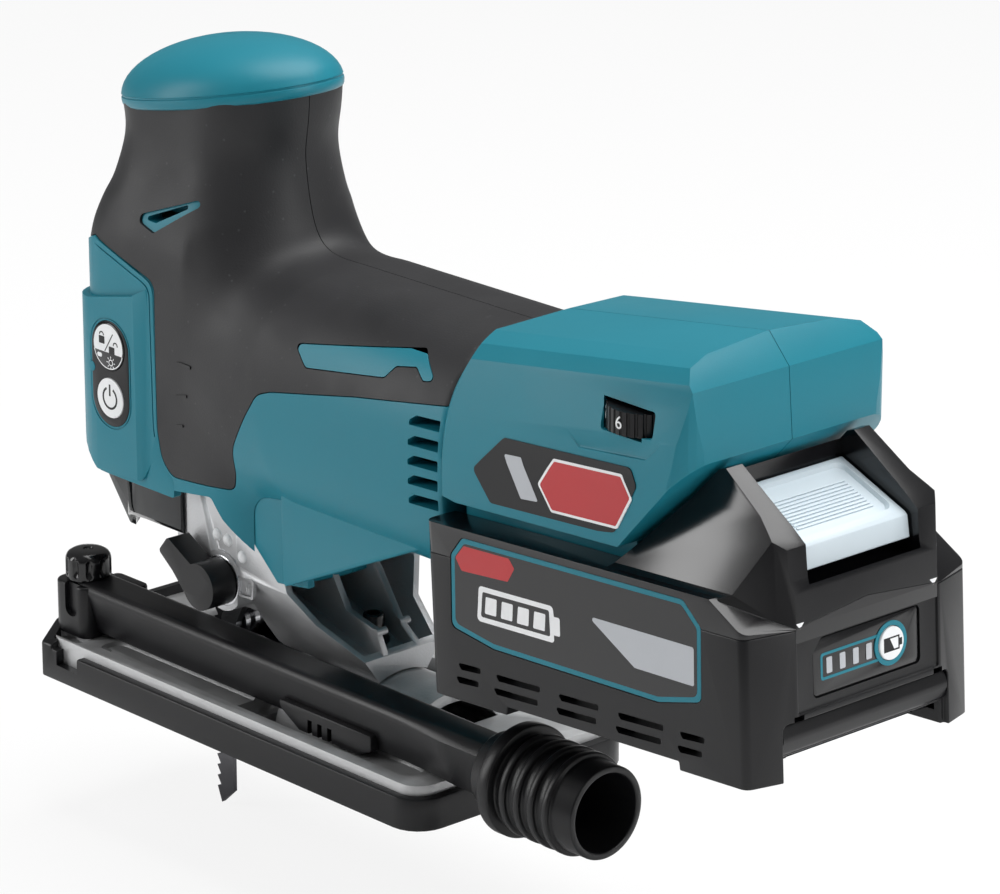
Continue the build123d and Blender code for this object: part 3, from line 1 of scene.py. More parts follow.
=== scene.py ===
# %% [markdown]
# A cordless jigsaw with a barrel grip, dressed around its solids. The solids carry the sizes and the joints,
# so this script only adds what the eye sees: the moulded skins, the small details and the finishes.

# %% Load the frame
import json
import math
import bpy
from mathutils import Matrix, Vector

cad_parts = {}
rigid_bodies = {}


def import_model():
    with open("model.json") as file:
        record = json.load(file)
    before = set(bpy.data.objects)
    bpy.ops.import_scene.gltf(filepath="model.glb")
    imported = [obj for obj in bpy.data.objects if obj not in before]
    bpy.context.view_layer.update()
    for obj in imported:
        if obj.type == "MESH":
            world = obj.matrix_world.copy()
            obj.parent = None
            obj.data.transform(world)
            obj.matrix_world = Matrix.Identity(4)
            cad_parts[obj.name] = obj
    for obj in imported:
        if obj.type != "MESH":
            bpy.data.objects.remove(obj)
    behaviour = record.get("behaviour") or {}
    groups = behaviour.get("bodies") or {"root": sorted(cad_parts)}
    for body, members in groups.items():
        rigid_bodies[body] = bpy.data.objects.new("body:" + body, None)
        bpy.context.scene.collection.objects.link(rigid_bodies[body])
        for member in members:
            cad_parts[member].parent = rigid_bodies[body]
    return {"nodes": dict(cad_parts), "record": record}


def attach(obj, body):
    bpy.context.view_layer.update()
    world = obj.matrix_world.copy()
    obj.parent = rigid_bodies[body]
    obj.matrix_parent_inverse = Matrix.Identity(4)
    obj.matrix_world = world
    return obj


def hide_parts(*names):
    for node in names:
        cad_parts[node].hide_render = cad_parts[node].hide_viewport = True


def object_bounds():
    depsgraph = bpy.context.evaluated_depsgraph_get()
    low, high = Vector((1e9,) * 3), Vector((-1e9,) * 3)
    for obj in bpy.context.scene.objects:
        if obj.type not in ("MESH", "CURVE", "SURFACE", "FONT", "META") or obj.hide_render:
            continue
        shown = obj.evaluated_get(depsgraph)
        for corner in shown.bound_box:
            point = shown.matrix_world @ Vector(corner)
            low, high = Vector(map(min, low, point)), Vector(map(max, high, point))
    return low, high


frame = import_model()
cad_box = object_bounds()
MM = 0.001

# %% [markdown]
# The photograph was taken from behind and to the left of the tool with a long lens. The camera's place and
# lens were worked out from the parallel edges of the base and the battery, so they are plain numbers here.

# %% Camera
CAMERA_PLACE = (0.96435, -0.81441, 0.49785)
CAMERA_AZIMUTH = 47.671
CAMERA_HEIGHT_ANGLE = 18.442
camera_data = bpy.data.cameras.new("camera")
camera_data.sensor_width = 36.0
camera_data.lens = 178.76
camera = bpy.data.objects.new("camera", camera_data)
bpy.context.scene.collection.objects.link(camera)
camera.location = CAMERA_PLACE
camera.rotation_euler = (math.radians(90 - CAMERA_HEIGHT_ANGLE), 0, math.radians(CAMERA_AZIMUTH))
bpy.context.scene.camera = camera
bpy.context.scene.view_settings.view_transform = "Standard"
print("camera lens", camera_data.lens)

# %% [markdown]
# A product photograph has a white sweep and large soft lamps. The world is white where the camera looks
# straight at it, and dimmer for the light that it throws, so that black plastic stays black.

# %% World and lamps
world = bpy.data.worlds.new("studio")
bpy.context.scene.world = world
world.use_nodes = True
sky = world.node_tree
sky.nodes.clear()
path = sky.nodes.new("ShaderNodeLightPath")
seen = sky.nodes.new("ShaderNodeMath")
seen.operation = "MAXIMUM"
sky.links.new(path.outputs["Is Camera Ray"], seen.inputs[0])
sky.links.new(path.outputs["Is Transmission Ray"], seen.inputs[1])
place = sky.nodes.new("ShaderNodeTexCoord")
split = sky.nodes.new("ShaderNodeSeparateXYZ")
sky.links.new(place.outputs["Generated"], split.inputs[0])
glow = sky.nodes.new("ShaderNodeMapRange")
glow.inputs["From Min"].default_value = -0.2
glow.inputs["From Max"].default_value = 0.9
glow.inputs["To Min"].default_value = 0.10
glow.inputs["To Max"].default_value = 0.34
sky.links.new(split.outputs["Z"], glow.inputs["Value"])
strength = sky.nodes.new("ShaderNodeMix")
strength.inputs["B"].default_value = 1.0
sky.links.new(seen.outputs[0], strength.inputs["Factor"])
sky.links.new(glow.outputs["Result"], strength.inputs["A"])
background = sky.nodes.new("ShaderNodeBackground")
background.inputs["Color"].default_value = (1, 1, 1, 1)
sky.links.new(strength.outputs["Result"], background.inputs["Strength"])
sky_out = sky.nodes.new("ShaderNodeOutputWorld")
sky.links.new(background.outputs[0], sky_out.inputs["Surface"])


def soft_lamp(name, place, aim, size, power):
    """A square area lamp that points at a spot."""
    data = bpy.data.lights.new(name, "AREA")
    data.shape = "RECTANGLE"
    data.size, data.size_y = size
    data.energy = power
    lamp = bpy.data.objects.new(name, data)
    bpy.context.scene.collection.objects.link(lamp)
    lamp.location = place
    lamp.rotation_euler = (Vector(aim) - Vector(place)).to_track_quat("-Z", "Y").to_euler()
    return lamp


TOOL_MIDDLE = (0.05, 0.0, 0.08)
soft_lamp("top_lamp", (0.1, 0.28, 1.05), TOOL_MIDDLE, (0.8, 1.0), 13.0)
soft_lamp("left_lamp", (-0.75, -0.85, 0.45), TOOL_MIDDLE, (0.35, 0.8), 6.0)
soft_lamp("rear_lamp", (1.15, 0.3, 0.5), TOOL_MIDDLE, (0.4, 0.8), 6.0)
print("lamps ready")

# %% [markdown]
# The floor is a wide pale sheet just under the tip of the blade, because the saw stands with its blade
# through the work. Part of its whiteness is its own glow towards the camera, and the rest catches the shadow.

# %% Floor
FLOOR_HEIGHT = cad_box[0][2] - 0.0006
bpy.ops.object.select_all(action="DESELECT")
bpy.ops.mesh.primitive_plane_add(size=8, location=(0, 0, FLOOR_HEIGHT))
floor = bpy.context.object
floor.name = "floor"
pale = bpy.data.materials.new("pale_floor")
pale.use_nodes = True
tree = pale.node_tree
tree.nodes.clear()
matte = tree.nodes.new("ShaderNodeBsdfDiffuse")
matte.inputs["Color"].default_value = (0.9, 0.9, 0.9, 1)
white = tree.nodes.new("ShaderNodeEmission")
white.inputs["Color"].default_value = (1, 1, 1, 1)
path = tree.nodes.new("ShaderNodeLightPath")
share = tree.nodes.new("ShaderNodeMath")
share.operation = "MULTIPLY"
share.inputs[1].default_value = 0.86
tree.links.new(path.outputs["Is Camera Ray"], share.inputs[0])
blend = tree.nodes.new("ShaderNodeMixShader")
tree.links.new(share.outputs[0], blend.inputs["Fac"])
tree.links.new(matte.outputs[0], blend.inputs[1])
tree.links.new(white.outputs[0], blend.inputs[2])
out = tree.nodes.new("ShaderNodeOutputMaterial")
tree.links.new(blend.outputs[0], out.inputs["Surface"])
floor.data.materials.append(pale)
print("floor at", round(FLOOR_HEIGHT, 4))

# %% [markdown]
# Finishes share a few effects. Each effect is a node group that puts out masks and heights: the fine grain
# that a mould leaves, the pale specks of dust that rubber holds and the drawn lines of machined metal. The sandy
# skin of a casting is the mould grain at a coarser scale with a deeper bump. Every finish then sets its own colour,
# gloss and depth.

# %% Shared effects
def effect(name, inputs, outputs):
    """An empty node group with value inputs and outputs."""
    group = bpy.data.node_groups.new(name, "ShaderNodeTree")
    for label, value in inputs.items():
        socket = group.interface.new_socket(label, in_out="INPUT", socket_type="NodeSocketFloat")
        socket.default_value = value
    for label in outputs:
        group.interface.new_socket(label, in_out="OUTPUT", socket_type="NodeSocketFloat")
    return group, group.nodes.new("NodeGroupInput"), group.nodes.new("NodeGroupOutput")


def noise_in(group, vector, scale, detail):
    """A noise texture in a group, its scale from an input socket or a number."""
    node = group.nodes.new("ShaderNodeTexNoise")
    node.inputs["Detail"].default_value = detail
    if isinstance(scale, (int, float)):
        node.inputs["Scale"].default_value = scale
    else:
        group.links.new(scale, node.inputs["Scale"])
    group.links.new(vector, node.inputs["Vector"])
    return node.outputs["Fac"]


mould_grain, start, end = effect("mould_grain", {"Grain": 2600.0, "Patch": 28.0}, ["Height", "Patches"])
where = mould_grain.nodes.new("ShaderNodeTexCoord").outputs["Object"]
mould_grain.links.new(noise_in(mould_grain, where, start.outputs["Grain"], 2.0), end.inputs["Height"])
mould_grain.links.new(noise_in(mould_grain, where, start.outputs["Patch"], 3.0), end.inputs["Patches"])

dust_specks, start, end = effect("dust_specks", {"Cells": 900.0, "Share": 0.06}, ["Mask"])
where = dust_specks.nodes.new("ShaderNodeTexCoord").outputs["Object"]
cells = dust_specks.nodes.new("ShaderNodeTexVoronoi")
dust_specks.links.new(where, cells.inputs["Vector"])
dust_specks.links.new(start.outputs["Cells"], cells.inputs["Scale"])
chance = dust_specks.nodes.new("ShaderNodeSeparateColor")
dust_specks.links.new(cells.outputs["Color"], chance.inputs[0])
picked = dust_specks.nodes.new("ShaderNodeMath")
picked.operation = "LESS_THAN"
dust_specks.links.new(chance.outputs[0], picked.inputs[0])
dust_specks.links.new(start.outputs["Share"], picked.inputs[1])
core = dust_specks.nodes.new("ShaderNodeMapRange")
core.inputs["From Min"].default_value = 0.12
core.inputs["From Max"].default_value = 0.42
core.inputs["To Min"].default_value = 1.0
core.inputs["To Max"].default_value = 0.0
dust_specks.links.new(cells.outputs["Distance"], core.inputs["Value"])
speck = dust_specks.nodes.new("ShaderNodeMath")
speck.operation = "MULTIPLY"
dust_specks.links.new(picked.outputs[0], speck.inputs[0])
dust_specks.links.new(core.outputs["Result"], speck.inputs[1])
dust_specks.links.new(speck.outputs[0], end.inputs["Mask"])

drawn_lines, start, end = effect("drawn_lines", {"Fine": 1400.0, "Stretch": 0.04}, ["Height", "Patches"])
where = drawn_lines.nodes.new("ShaderNodeTexCoord").outputs["Object"]
squeeze = drawn_lines.nodes.new("ShaderNodeCombineXYZ")
squeeze.inputs["Y"].default_value = 1.0
squeeze.inputs["Z"].default_value = 1.0
drawn_lines.links.new(start.outputs["Stretch"], squeeze.inputs["X"])
stretched = drawn_lines.nodes.new("ShaderNodeVectorMath")
stretched.operation = "MULTIPLY"
drawn_lines.links.new(where, stretched.inputs[0])
drawn_lines.links.new(squeeze.outputs[0], stretched.inputs[1])
drawn_lines.links.new(noise_in(drawn_lines, stretched.outputs[0], start.outputs["Fine"], 3.0), end.inputs["Height"])
drawn_lines.links.new(noise_in(drawn_lines, where, 60.0, 2.0), end.inputs["Patches"])
print("effects", [g.name for g in bpy.data.node_groups])


# %% [markdown]
# A finish is one Principled shader. Its colour and roughness wander a little between two values, and its
# bump comes from an effect. Whatever is the same all over is set on the shader's own socket.

# %% The finish maker
def finish(name, colours, rough, effect_group=None, values=None, bump=0.0, depth=0.0002, metallic=0.0, specks=None, **sockets):
    """A procedural material: two colours and two roughnesses mixed over patches, with a bump."""
    material = bpy.data.materials.new(name)
    material.use_nodes = True
    nodes, links = material.node_tree.nodes, material.node_tree.links
    shader = nodes["Principled BSDF"]
    shader.inputs["Metallic"].default_value = metallic
    for label, value in sockets.items():
        shader.inputs[label.replace("_", " ")].default_value = value
    surface = nodes.new("ShaderNodeGroup")
    surface.node_tree = effect_group or mould_grain
    for label, value in (values or {}).items():
        surface.inputs[label].default_value = value
    colour = nodes.new("ShaderNodeMix")
    colour.data_type = "RGBA"
    colour.inputs[6].default_value = (*colours[0], 1)
    colour.inputs[7].default_value = (*colours[1], 1)
    links.new(surface.outputs["Patches"], colour.inputs["Factor"])
    colour_out = colour.outputs[2]
    if specks:
        dust = nodes.new("ShaderNodeGroup")
        dust.node_tree = dust_specks
        dust.inputs["Cells"].default_value = specks[1]
        dust.inputs["Share"].default_value = specks[2]
        dusted = nodes.new("ShaderNodeMix")
        dusted.data_type = "RGBA"
        dusted.inputs[7].default_value = (*specks[0], 1)
        links.new(dust.outputs["Mask"], dusted.inputs["Factor"])
        links.new(colour_out, dusted.inputs[6])
        colour_out = dusted.outputs[2]
    links.new(colour_out, shader.inputs["Base Color"])
    gloss = nodes.new("ShaderNodeMapRange")
    gloss.inputs["From Min"].default_value = 0.3
    gloss.inputs["From Max"].default_value = 0.7
    gloss.inputs["To Min"].default_value = rough[0]
    gloss.inputs["To Max"].default_value = rough[1]
    links.new(surface.outputs["Patches"], gloss.inputs["Value"])
    links.new(gloss.outputs["Result"], shader.inputs["Roughness"])
    if bump:
        relief = nodes.new("ShaderNodeBump")
        relief.inputs["Strength"].default_value = bump
        relief.inputs["Distance"].default_value = depth
        links.new(surface.outputs["Height"], relief.inputs["Height"])
        links.new(relief.outputs["Normal"], shader.inputs["Normal"])
    return material


TEAL = ((0.009, 0.172, 0.232), (0.012, 0.198, 0.262))
teal_moulding = finish(
    "teal_moulding",
    TEAL,
    (0.36, 0.44),
    values={"Grain": 3200.0, "Patch": 30.0},
    bump=0.12,
    Specular_IOR_Level=0.28,
)
grip_rubber = finish(
    "grip_rubber",
    ((0.010, 0.010, 0.011), (0.016, 0.016, 0.018)),
    (0.46, 0.6),
    values={"Grain": 1900.0, "Patch": 45.0},
    bump=0.2,
    specks=((0.035, 0.035, 0.038), 900.0, 0.02),
    Specular_IOR_Level=0.42,
)
black_moulding = finish(
    "black_moulding",
    ((0.005, 0.005, 0.006), (0.008, 0.008, 0.009)),
    (0.3, 0.38),
    values={"Grain": 2600.0, "Patch": 40.0},
    bump=0.1,
    Specular_IOR_Level=0.3,
)
black_gloss = finish(
    "black_gloss",
    ((0.003, 0.003, 0.004), (0.005, 0.005, 0.006)),
    (0.15, 0.22),
    values={"Grain": 500.0, "Patch": 35.0},
    bump=0.02,
)
cast_metal = finish(
    "cast_metal",
    ((0.44, 0.445, 0.455), (0.60, 0.605, 0.615)),
    (0.42, 0.56),
    values={"Grain": 1500.0, "Patch": 90.0},
    bump=0.4,
    metallic=0.7,
)
plate_metal = finish(
    "plate_metal",
    ((0.40, 0.405, 0.41), (0.58, 0.585, 0.59)),
    (0.4, 0.54),
    values={"Grain": 900.0, "Patch": 160.0},
    bump=0.4,
    metallic=0.6,
)
bright_metal = finish(
    "bright_metal", ((0.55, 0.56, 0.58), (0.72, 0.73, 0.75)), (0.16, 0.3), drawn_lines, bump=0.05, metallic=1.0
)
machined_steel = finish(
    "machined_steel", ((0.33, 0.34, 0.36), (0.46, 0.47, 0.49)), (0.28, 0.42), drawn_lines, bump=0.08, metallic=1.0
)
blade_steel = finish(
    "blade_steel", ((0.10, 0.10, 0.11), (0.19, 0.19, 0.20)), (0.3, 0.45), drawn_lines, bump=0.1, metallic=1.0
)
grey_print = finish("grey_print", ((0.42, 0.44, 0.47), (0.50, 0.52, 0.55)), (0.4, 0.5), bump=0.04)
red_print = finish("red_print", ((0.42, 0.012, 0.016), (0.50, 0.018, 0.022)), (0.34, 0.44), bump=0.04)
white_print = finish("white_print", ((0.78, 0.79, 0.80), (0.86, 0.87, 0.88)), (0.38, 0.48), bump=0.05)
grey_button = finish(
    "grey_button", ((0.52, 0.60, 0.65), (0.60, 0.68, 0.73)), (0.34, 0.42), values={"Patch": 20.0}, bump=0.04
)
smoked_clear = finish(
    "smoked_clear",
    ((0.010, 0.012, 0.014), (0.020, 0.023, 0.026)),
    (0.06, 0.12),
    values={"Grain": 200.0, "Patch": 30.0},
    bump=0.02,
    Transmission_Weight=0.45,
    IOR=1.49,
)
brass = finish("brass", ((0.62, 0.42, 0.16), (0.74, 0.54, 0.24)), (0.24, 0.4), drawn_lines, bump=0.05, metallic=1.0)
copper = finish("copper", ((0.45, 0.16, 0.06), (0.60, 0.24, 0.09)), (0.3, 0.42), drawn_lines, bump=0.1, metallic=1.0)
dark_iron = finish("dark_iron", ((0.10, 0.10, 0.11), (0.18, 0.18, 0.19)), (0.4, 0.55), drawn_lines, bump=0.2, metallic=1.0)
board_green = finish("board_green", ((0.01, 0.07, 0.03), (0.02, 0.12, 0.05)), (0.3, 0.42), values={"Patch": 160.0}, bump=0.05)
cell_sleeve = finish("cell_sleeve", ((0.03, 0.12, 0.30), (0.05, 0.17, 0.38)), (0.3, 0.4), bump=0.03)
lamp_glass = finish(
    "lamp_glass", ((0.80, 0.80, 0.76), (0.88, 0.88, 0.84)), (0.1, 0.2), values={"Patch": 120.0}, bump=0.03, Coat_Weight=0.4
)
print("finishes", len(bpy.data.materials))

# %% [markdown]
# Pieces that keep the shape of their solid take a finish as they are. The record's material slots say what
# each piece is made of, so a table from slot to finish dresses them all, hidden ones too.

# %% Finishes on the solids
SLOT_FINISH = {
    "black_plastic": black_moulding,
    "cast_aluminium": cast_metal,
    "steel": machined_steel,
    "bright_steel": bright_metal,
    "teal_plastic": teal_moulding,
    "grip_rubber": grip_rubber,
    "bronze": brass,
    "iron": dark_iron,
    "copper": copper,
    "black_gloss": black_gloss,
    "white_plastic": white_print,
    "clear_plastic": smoked_clear,
    "brass_metal": brass,
    "board": board_green,
    "cell_wrap": cell_sleeve,
    "grey_plastic": grey_button,
}
NODE_FINISH = {"blade": blade_steel, "work_light": lamp_glass}
node_slot = {}
for entry in frame["record"]["subparts"]:
    node_slot[entry["node"]] = entry["material_slot"]
for node, solid in frame["nodes"].items():
    solid.data.materials.clear()
    solid.data.materials.append(NODE_FINISH.get(node, SLOT_FINISH[node_slot[node]]))
print("dressed solids", len(frame["nodes"]))

# %% [markdown]
# New pieces are modelled the way a modeller works by hand: start from a primitive, extrude it, put its rings
# where they belong, then cut and bevel. These helpers hold the few moves that come back all the time.

# %% Modelling helpers
def only(obj):
    """Selects one object and makes it the active one."""
    bpy.ops.object.select_all(action="DESELECT")
    obj.select_set(True)
    bpy.context.view_layer.objects.active = obj


def into_edit(obj, select="SELECT"):
    """Opens an object for editing."""
    only(obj)
    bpy.ops.object.mode_set(mode="EDIT")
    bpy.ops.mesh.select_all(action=select)


def out_of_edit():
    """Back to object mode."""
    bpy.ops.object.mode_set(mode="OBJECT")


def modify(obj, kind, **settings):
    """Adds a modifier and applies it."""
    only(obj)
    modifier = obj.modifiers.new(kind.lower(), kind)
    for label, value in settings.items():
        setattr(modifier, label, value)
    bpy.ops.object.modifier_apply(modifier=modifier.name)
    return obj


def cut(obj, tool, operation="DIFFERENCE", keep=False):
    """Cuts, joins or intersects an object with a tool, which is then removed."""
    modify(obj, "BOOLEAN", object=tool, operation=operation, solver="EXACT")
    if not keep:
        bpy.data.objects.remove(tool)
    return obj


def loft(name, rings):
    """A closed skin over rings of points: a filled circle, extruded once per ring, each ring then put in place."""
    count = len(rings[0])
    bpy.ops.object.select_all(action="DESELECT")
    bpy.ops.mesh.primitive_circle_add(vertices=count, radius=1, fill_type="NGON")
    obj = bpy.context.object
    obj.name = name
    bpy.ops.object.mode_set(mode="EDIT")
    bpy.ops.mesh.select_all(action="SELECT")
    for _ in rings[1:]:
        bpy.ops.mesh.extrude_region_move(TRANSFORM_OT_translate={"value": (0, 0, 1)})
    bpy.ops.object.mode_set(mode="OBJECT")
    start = math.atan2(obj.data.vertices[0].co.y, obj.data.vertices[0].co.x)
    for vertex in obj.data.vertices:
        level = round(vertex.co.z)
        turn = math.atan2(vertex.co.y, vertex.co.x) - start
        vertex.co = Vector(rings[level][round(turn / (2 * math.pi) * count) % count]) * MM
    bpy.ops.object.mode_set(mode="EDIT")
    bpy.ops.mesh.select_all(action="SELECT")
    bpy.ops.mesh.normals_make_consistent(inside=False)
    bpy.ops.object.mode_set(mode="OBJECT")
    return obj


def rounded(points, radius, steps=5):
    """An outline with its corners rounded; a third number at a point is that corner's own radius."""
    outline = []
    for i, point in enumerate(points):
        corner = Vector(point[:2])
        before = Vector(points[i - 1][:2]) - corner
        after = Vector(points[(i + 1) % len(points)][:2]) - corner
        size = point[2] if len(point) > 2 else radius
        opening = before.angle(after) / 2
        reach = min(size / math.tan(opening), 0.49 * before.length, 0.49 * after.length)
        if reach < 0.01:
            outline.append(tuple(corner))
            continue
        first, last = corner + before.normalized() * reach, corner + after.normalized() * reach
        centre = corner + (before.normalized() + after.normalized()).normalized() * (reach / math.cos(opening))
        spoke = first - centre
        swing = spoke.angle_signed(last - centre)
        for step in range(steps + 1):
            turn = -swing * step / steps
            c, s = math.cos(turn), math.sin(turn)
            outline.append((centre.x + spoke.x * c - spoke.y * s, centre.y + spoke.x * s + spoke.y * c))
    return outline


def prism(name, outline, low, high, axis="Y"):
    """A prism over an outline: (x, z) along Y, (x, y) along Z, (y, z) along X."""
    places = {
        "Y": lambda a, b, depth: (a, depth, b),
        "Z": lambda a, b, depth: (a, b, depth),
        "X": lambda a, b, depth: (depth, a, b),
    }
    put = places[axis]
    return loft(name, [[put(a, b, depth) for a, b in outline] for depth in (low, high)])


def soften(obj, width, segments=2, angle=30):
    """Bevels the edges that turn by more than an angle, then shades the rest smooth."""
    if width:
        modify(
            obj,
            "BEVEL",
            width=width * MM,
            segments=segments,
            limit_method="ANGLE",
            angle_limit=math.radians(angle),
            harden_normals=False,
            miter_outer="MITER_ARC",
        )
    only(obj)
    bpy.ops.object.shade_smooth_by_angle(angle=math.radians(38))
    return obj


def dress(obj, material, body, *nodes):
    """Gives a piece its finish, sends it along with a body and lets it stand for nodes."""
    obj.data.materials.clear()
    obj.data.materials.append(material)
    for polygon in obj.data.polygons:
        polygon.material_index = 0
    if nodes:
        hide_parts(*nodes)
    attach(obj, body)
    return obj


def keep_side(obj, point, normal):
    """Cuts an object along a plane, drops what is in front of it and closes the cut."""
    into_edit(obj)
    bpy.ops.mesh.bisect(
        plane_co=Vector(point) * MM, plane_no=normal, use_fill=True, clear_outer=True, clear_inner=False
    )
    bpy.ops.mesh.select_all(action="SELECT")
    bpy.ops.mesh.normals_make_consistent(inside=False)
    out_of_edit()
    return obj


def copied(obj, name):
    """A copy with its own mesh."""
    only(obj)
    bpy.ops.object.duplicate()
    copy = bpy.context.object
    copy.name = name
    return copy


def mirrored(obj, name):
    """The other side's twin of a left-hand piece."""
    twin = copied(obj, name)
    into_edit(twin)
    bpy.ops.transform.mirror(
        orient_type="GLOBAL", constraint_axis=(False, True, False), center_override=(0, 0, 0)
    )
    bpy.ops.mesh.select_all(action="SELECT")
    bpy.ops.mesh.normals_make_consistent(inside=False)
    out_of_edit()
    return twin


def squircle(middle, half_length, half_width, power, count=112):
    """A rounded oval in plan: power 2 is an ellipse, more is squarer."""
    points = []
    for i in range(count):
        c, s = math.cos(2 * math.pi * i / count), math.sin(2 * math.pi * i / count)
        x = middle + half_length * math.copysign(abs(c) ** (2 / power), c)
        points.append((x, half_width * math.copysign(abs(s) ** (2 / power), s)))
    return points


def through(stations, count):
    """Smooth steps through a list of stations, each a tuple of numbers led by its height."""
    steps = []
    last = len(stations) - 1
    for i in range(count + 1):
        place = last * i / count
        left = min(int(place), last - 1)
        share = place - left
        row = []
        for k in range(len(stations[0])):
            p0, p1 = stations[max(left - 1, 0)][k], stations[left][k]
            p2, p3 = stations[left + 1][k], stations[min(left + 2, last)][k]
            t1, t2 = (p2 - p0) / 2, (p3 - p1) / 2
            row.append(
                p1 * (2 * share**3 - 3 * share**2 + 1)
                + p2 * (3 * share**2 - 2 * share**3)
                + t1 * (share**3 - 2 * share**2 + share)
                + t2 * (share**3 - share**2)
            )
        steps.append(row)
    return steps


print("helpers ready")

# %% [markdown]
# The grip is one flowing form on the real tool: an upright column with a waist for the palm, which runs into
# the lying motor barrel. It is made as two lofts joined together and remeshed, and the crease where they
# meet is then smoothed until the neck sweeps into the barrel.

# %% Grip form
NECK = [
    (44.0, -70.5, 12.0, 29.4, 12.0),
    (72.0, -71.2, 11.5, 29.8, 12.0),
    (100.0, -71.5, 9.5, 29.7, 12.5),
    (118.0, -71.5, 6.6, 29.4, 13.0),
    (130.0, -71.2, 1.4, 29.0, 15.5),
    (138.0, -70.0, -1.9, 27.0, 17.0),
    (145.0, -68.1, -4.2, 24.8, 18.5),
    (157.0, -66.2, -5.8, 22.5, 19.0),
    (168.0, -67.2, -4.3, 22.8, 19.0),
    (181.0, -68.0, -3.5, 23.4, 19.5),
]
REAR_CORNER_SHARE = 0.92


def neck_plan(front, rear, half, corner):
    """Plan of the column: a block with tighter corners at the front than at the rear."""
    back = REAR_CORNER_SHARE * half
    return rounded([(rear, half, back), (front, half, corner), (front, -half, corner), (rear, -half, back)], 0, 24)


column_rings = []
for height, front, rear, half, corner in through(NECK, 76):
    column_rings.append([(x, y, height) for x, y in neck_plan(front, rear, half, corner)])
grip_form = loft("grip_form", column_rings)

BARREL_HALF, BARREL_LOW, BARREL_HIGH, BARREL_REAR = 32.3, 65.0, 131.9, 84.5


def barrel_ring(x, shrink, lift):
    """A section of the barrel, rounder on top than below."""
    ring = []
    for i in range(112):
        c, s = math.cos(2 * math.pi * i / 112), math.sin(2 * math.pi * i / 112)
        power = 2.55 if s > 0 else 3.1
        y = (BARREL_HALF - shrink) * math.copysign(abs(c) ** (2 / power), c)
        middle, half = (BARREL_LOW + BARREL_HIGH) / 2, (BARREL_HIGH - BARREL_LOW) / 2 - shrink
        ring.append((x, y, middle + lift + half * math.copysign(abs(s) ** (2 / power), s)))
    return ring


barrel_rings = []
for step in range(25):
    x = -30 + step * (BARREL_REAR + 30) / 24
    shrink = max(0.0, (4 - x) / 34) ** 2 * 6.0
    barrel_rings.append(barrel_ring(x, shrink, 0))
barrel = loft("barrel", barrel_rings)
cut(grip_form, barrel, "UNION")
modify(grip_form, "REMESH", mode="VOXEL", voxel_size=1.15 * MM, adaptivity=0.0)


def column_excess(x, y, z):
    """About how far a point lies outside the column, in mm."""
    if z < 133:
        front, rear, half = -71.2, 12 - max(z - 90, 0) * 0.25, 29.6
    else:
        front, rear, half = -68, 0.4 - (z - 133) * 0.3, 28.4 - (z - 133) * 0.22
    across, along = abs(y) / half, abs(x - (front + rear) / 2) / ((rear - front) / 2)
    return ((across**2.5 + along**2.5) ** 0.4 - 1) * half


def barrel_excess(y, z):
    """About how far a point lies outside the barrel, in mm."""
    half = (BARREL_HIGH - BARREL_LOW) / 2
    across, up = abs(y) / BARREL_HALF, abs(z - BARREL_LOW - half) / half
    return ((across**2.6 + up**2.6) ** (1 / 2.6) - 1) * half


BLEND_REACH = 11.0
into_edit(grip_form, "DESELECT")
out_of_edit()
blended = 0
for vertex in grip_form.data.vertices:
    x, y, z = vertex.co / MM
    near = column_excess(x, y, z) < BLEND_REACH and barrel_excess(y, z) < BLEND_REACH and -22 < x < 40 and z > 66
    vertex.select = near
    blended += near
only(grip_form)
bpy.ops.object.mode_set(mode="EDIT")
bpy.ops.mesh.select_mode(type="VERT")
bpy.ops.mesh.vertices_smooth(factor=0.5, repeat=120)
bpy.ops.mesh.select_all(action="SELECT")
bpy.ops.mesh.vertices_smooth(factor=0.5, repeat=3)
out_of_edit()
print("grip form", len(grip_form.data.polygons), "faces, blended", blended)

# %% [markdown]
# Seen from the side, the skin of the grip is laid out in regions: the rubber that wraps neck and barrel, the
# teal panel under it, and the room of the front cover. Each region is an outline in millimetres, pushed
# through the form as a cutter. The rubber is cut a hair smaller than its place, which leaves a fine joint.

# %% Regions of the grip
CAP_LEAN = math.radians(10.9)
CAP_MIDDLE = (-36.0, 169.8)
CAP_LIP = 1.4
RUBBER = [
    (-95, 124.4),
    (-67.5, 126.0, 4),
    (-60.5, 128.9, 2),
    (-34.2, 121.4, 4),
    (-33.6, 80.6, 14),
    (-31.8, 72.4, 8),
    (-27.5, 68.8, 5),
    (-4.2, 70.4, 3),
    (-2.2, 76.0, 9),
    (-1.2, 83.1, 14),
    (6.0, 94.3, 30),
    (11.3, 101.8, 7),
    (17.1, 103.8, 8),
    (49.8, 110.1, 60),
    (100, 117.9),
    (100, 150),
    (20, 150),
    (20, 200),
    (-95, 200),
]
SIDE_INSERT = [
    (23.9, 117.7, 1),
    (68.1, 125.3, 2),
    (76.5, 119.6, 1),
    (72.5, 119.0, 1),
    (68.5, 121.4, 1.5),
    (61.5, 120.2, 1.5),
    (58.8, 116.9, 2),
    (29.6, 113.0, 2),
]
CORNER_INSERT = [(-46.0, 137.0, 1.5), (-36.0, 134.4, 1.5), (-13.5, 148.6, 1.0)]
COVER_ROOM = [
    (-95, 124.8),
    (-67.5, 126.4, 4),
    (-60.5, 129.3, 2),
    (-34.6, 121.0, 4),
    (-34.0, 80.6, 14),
    (-32.2, 72.0, 6),
    (-27.1, 67.5, 2),
    (-27.1, 58),
    (-95, 58),
]
UNDERCUT = [(-95, 30), (-95, 62.5), (-34, 64.0), (-12, 66.8, 2), (-8, 61.2, 2), (8, 46.4), (8, 30)]
half_form = keep_side(grip_form, (0, -0.12, 0), (0, 1, 0))
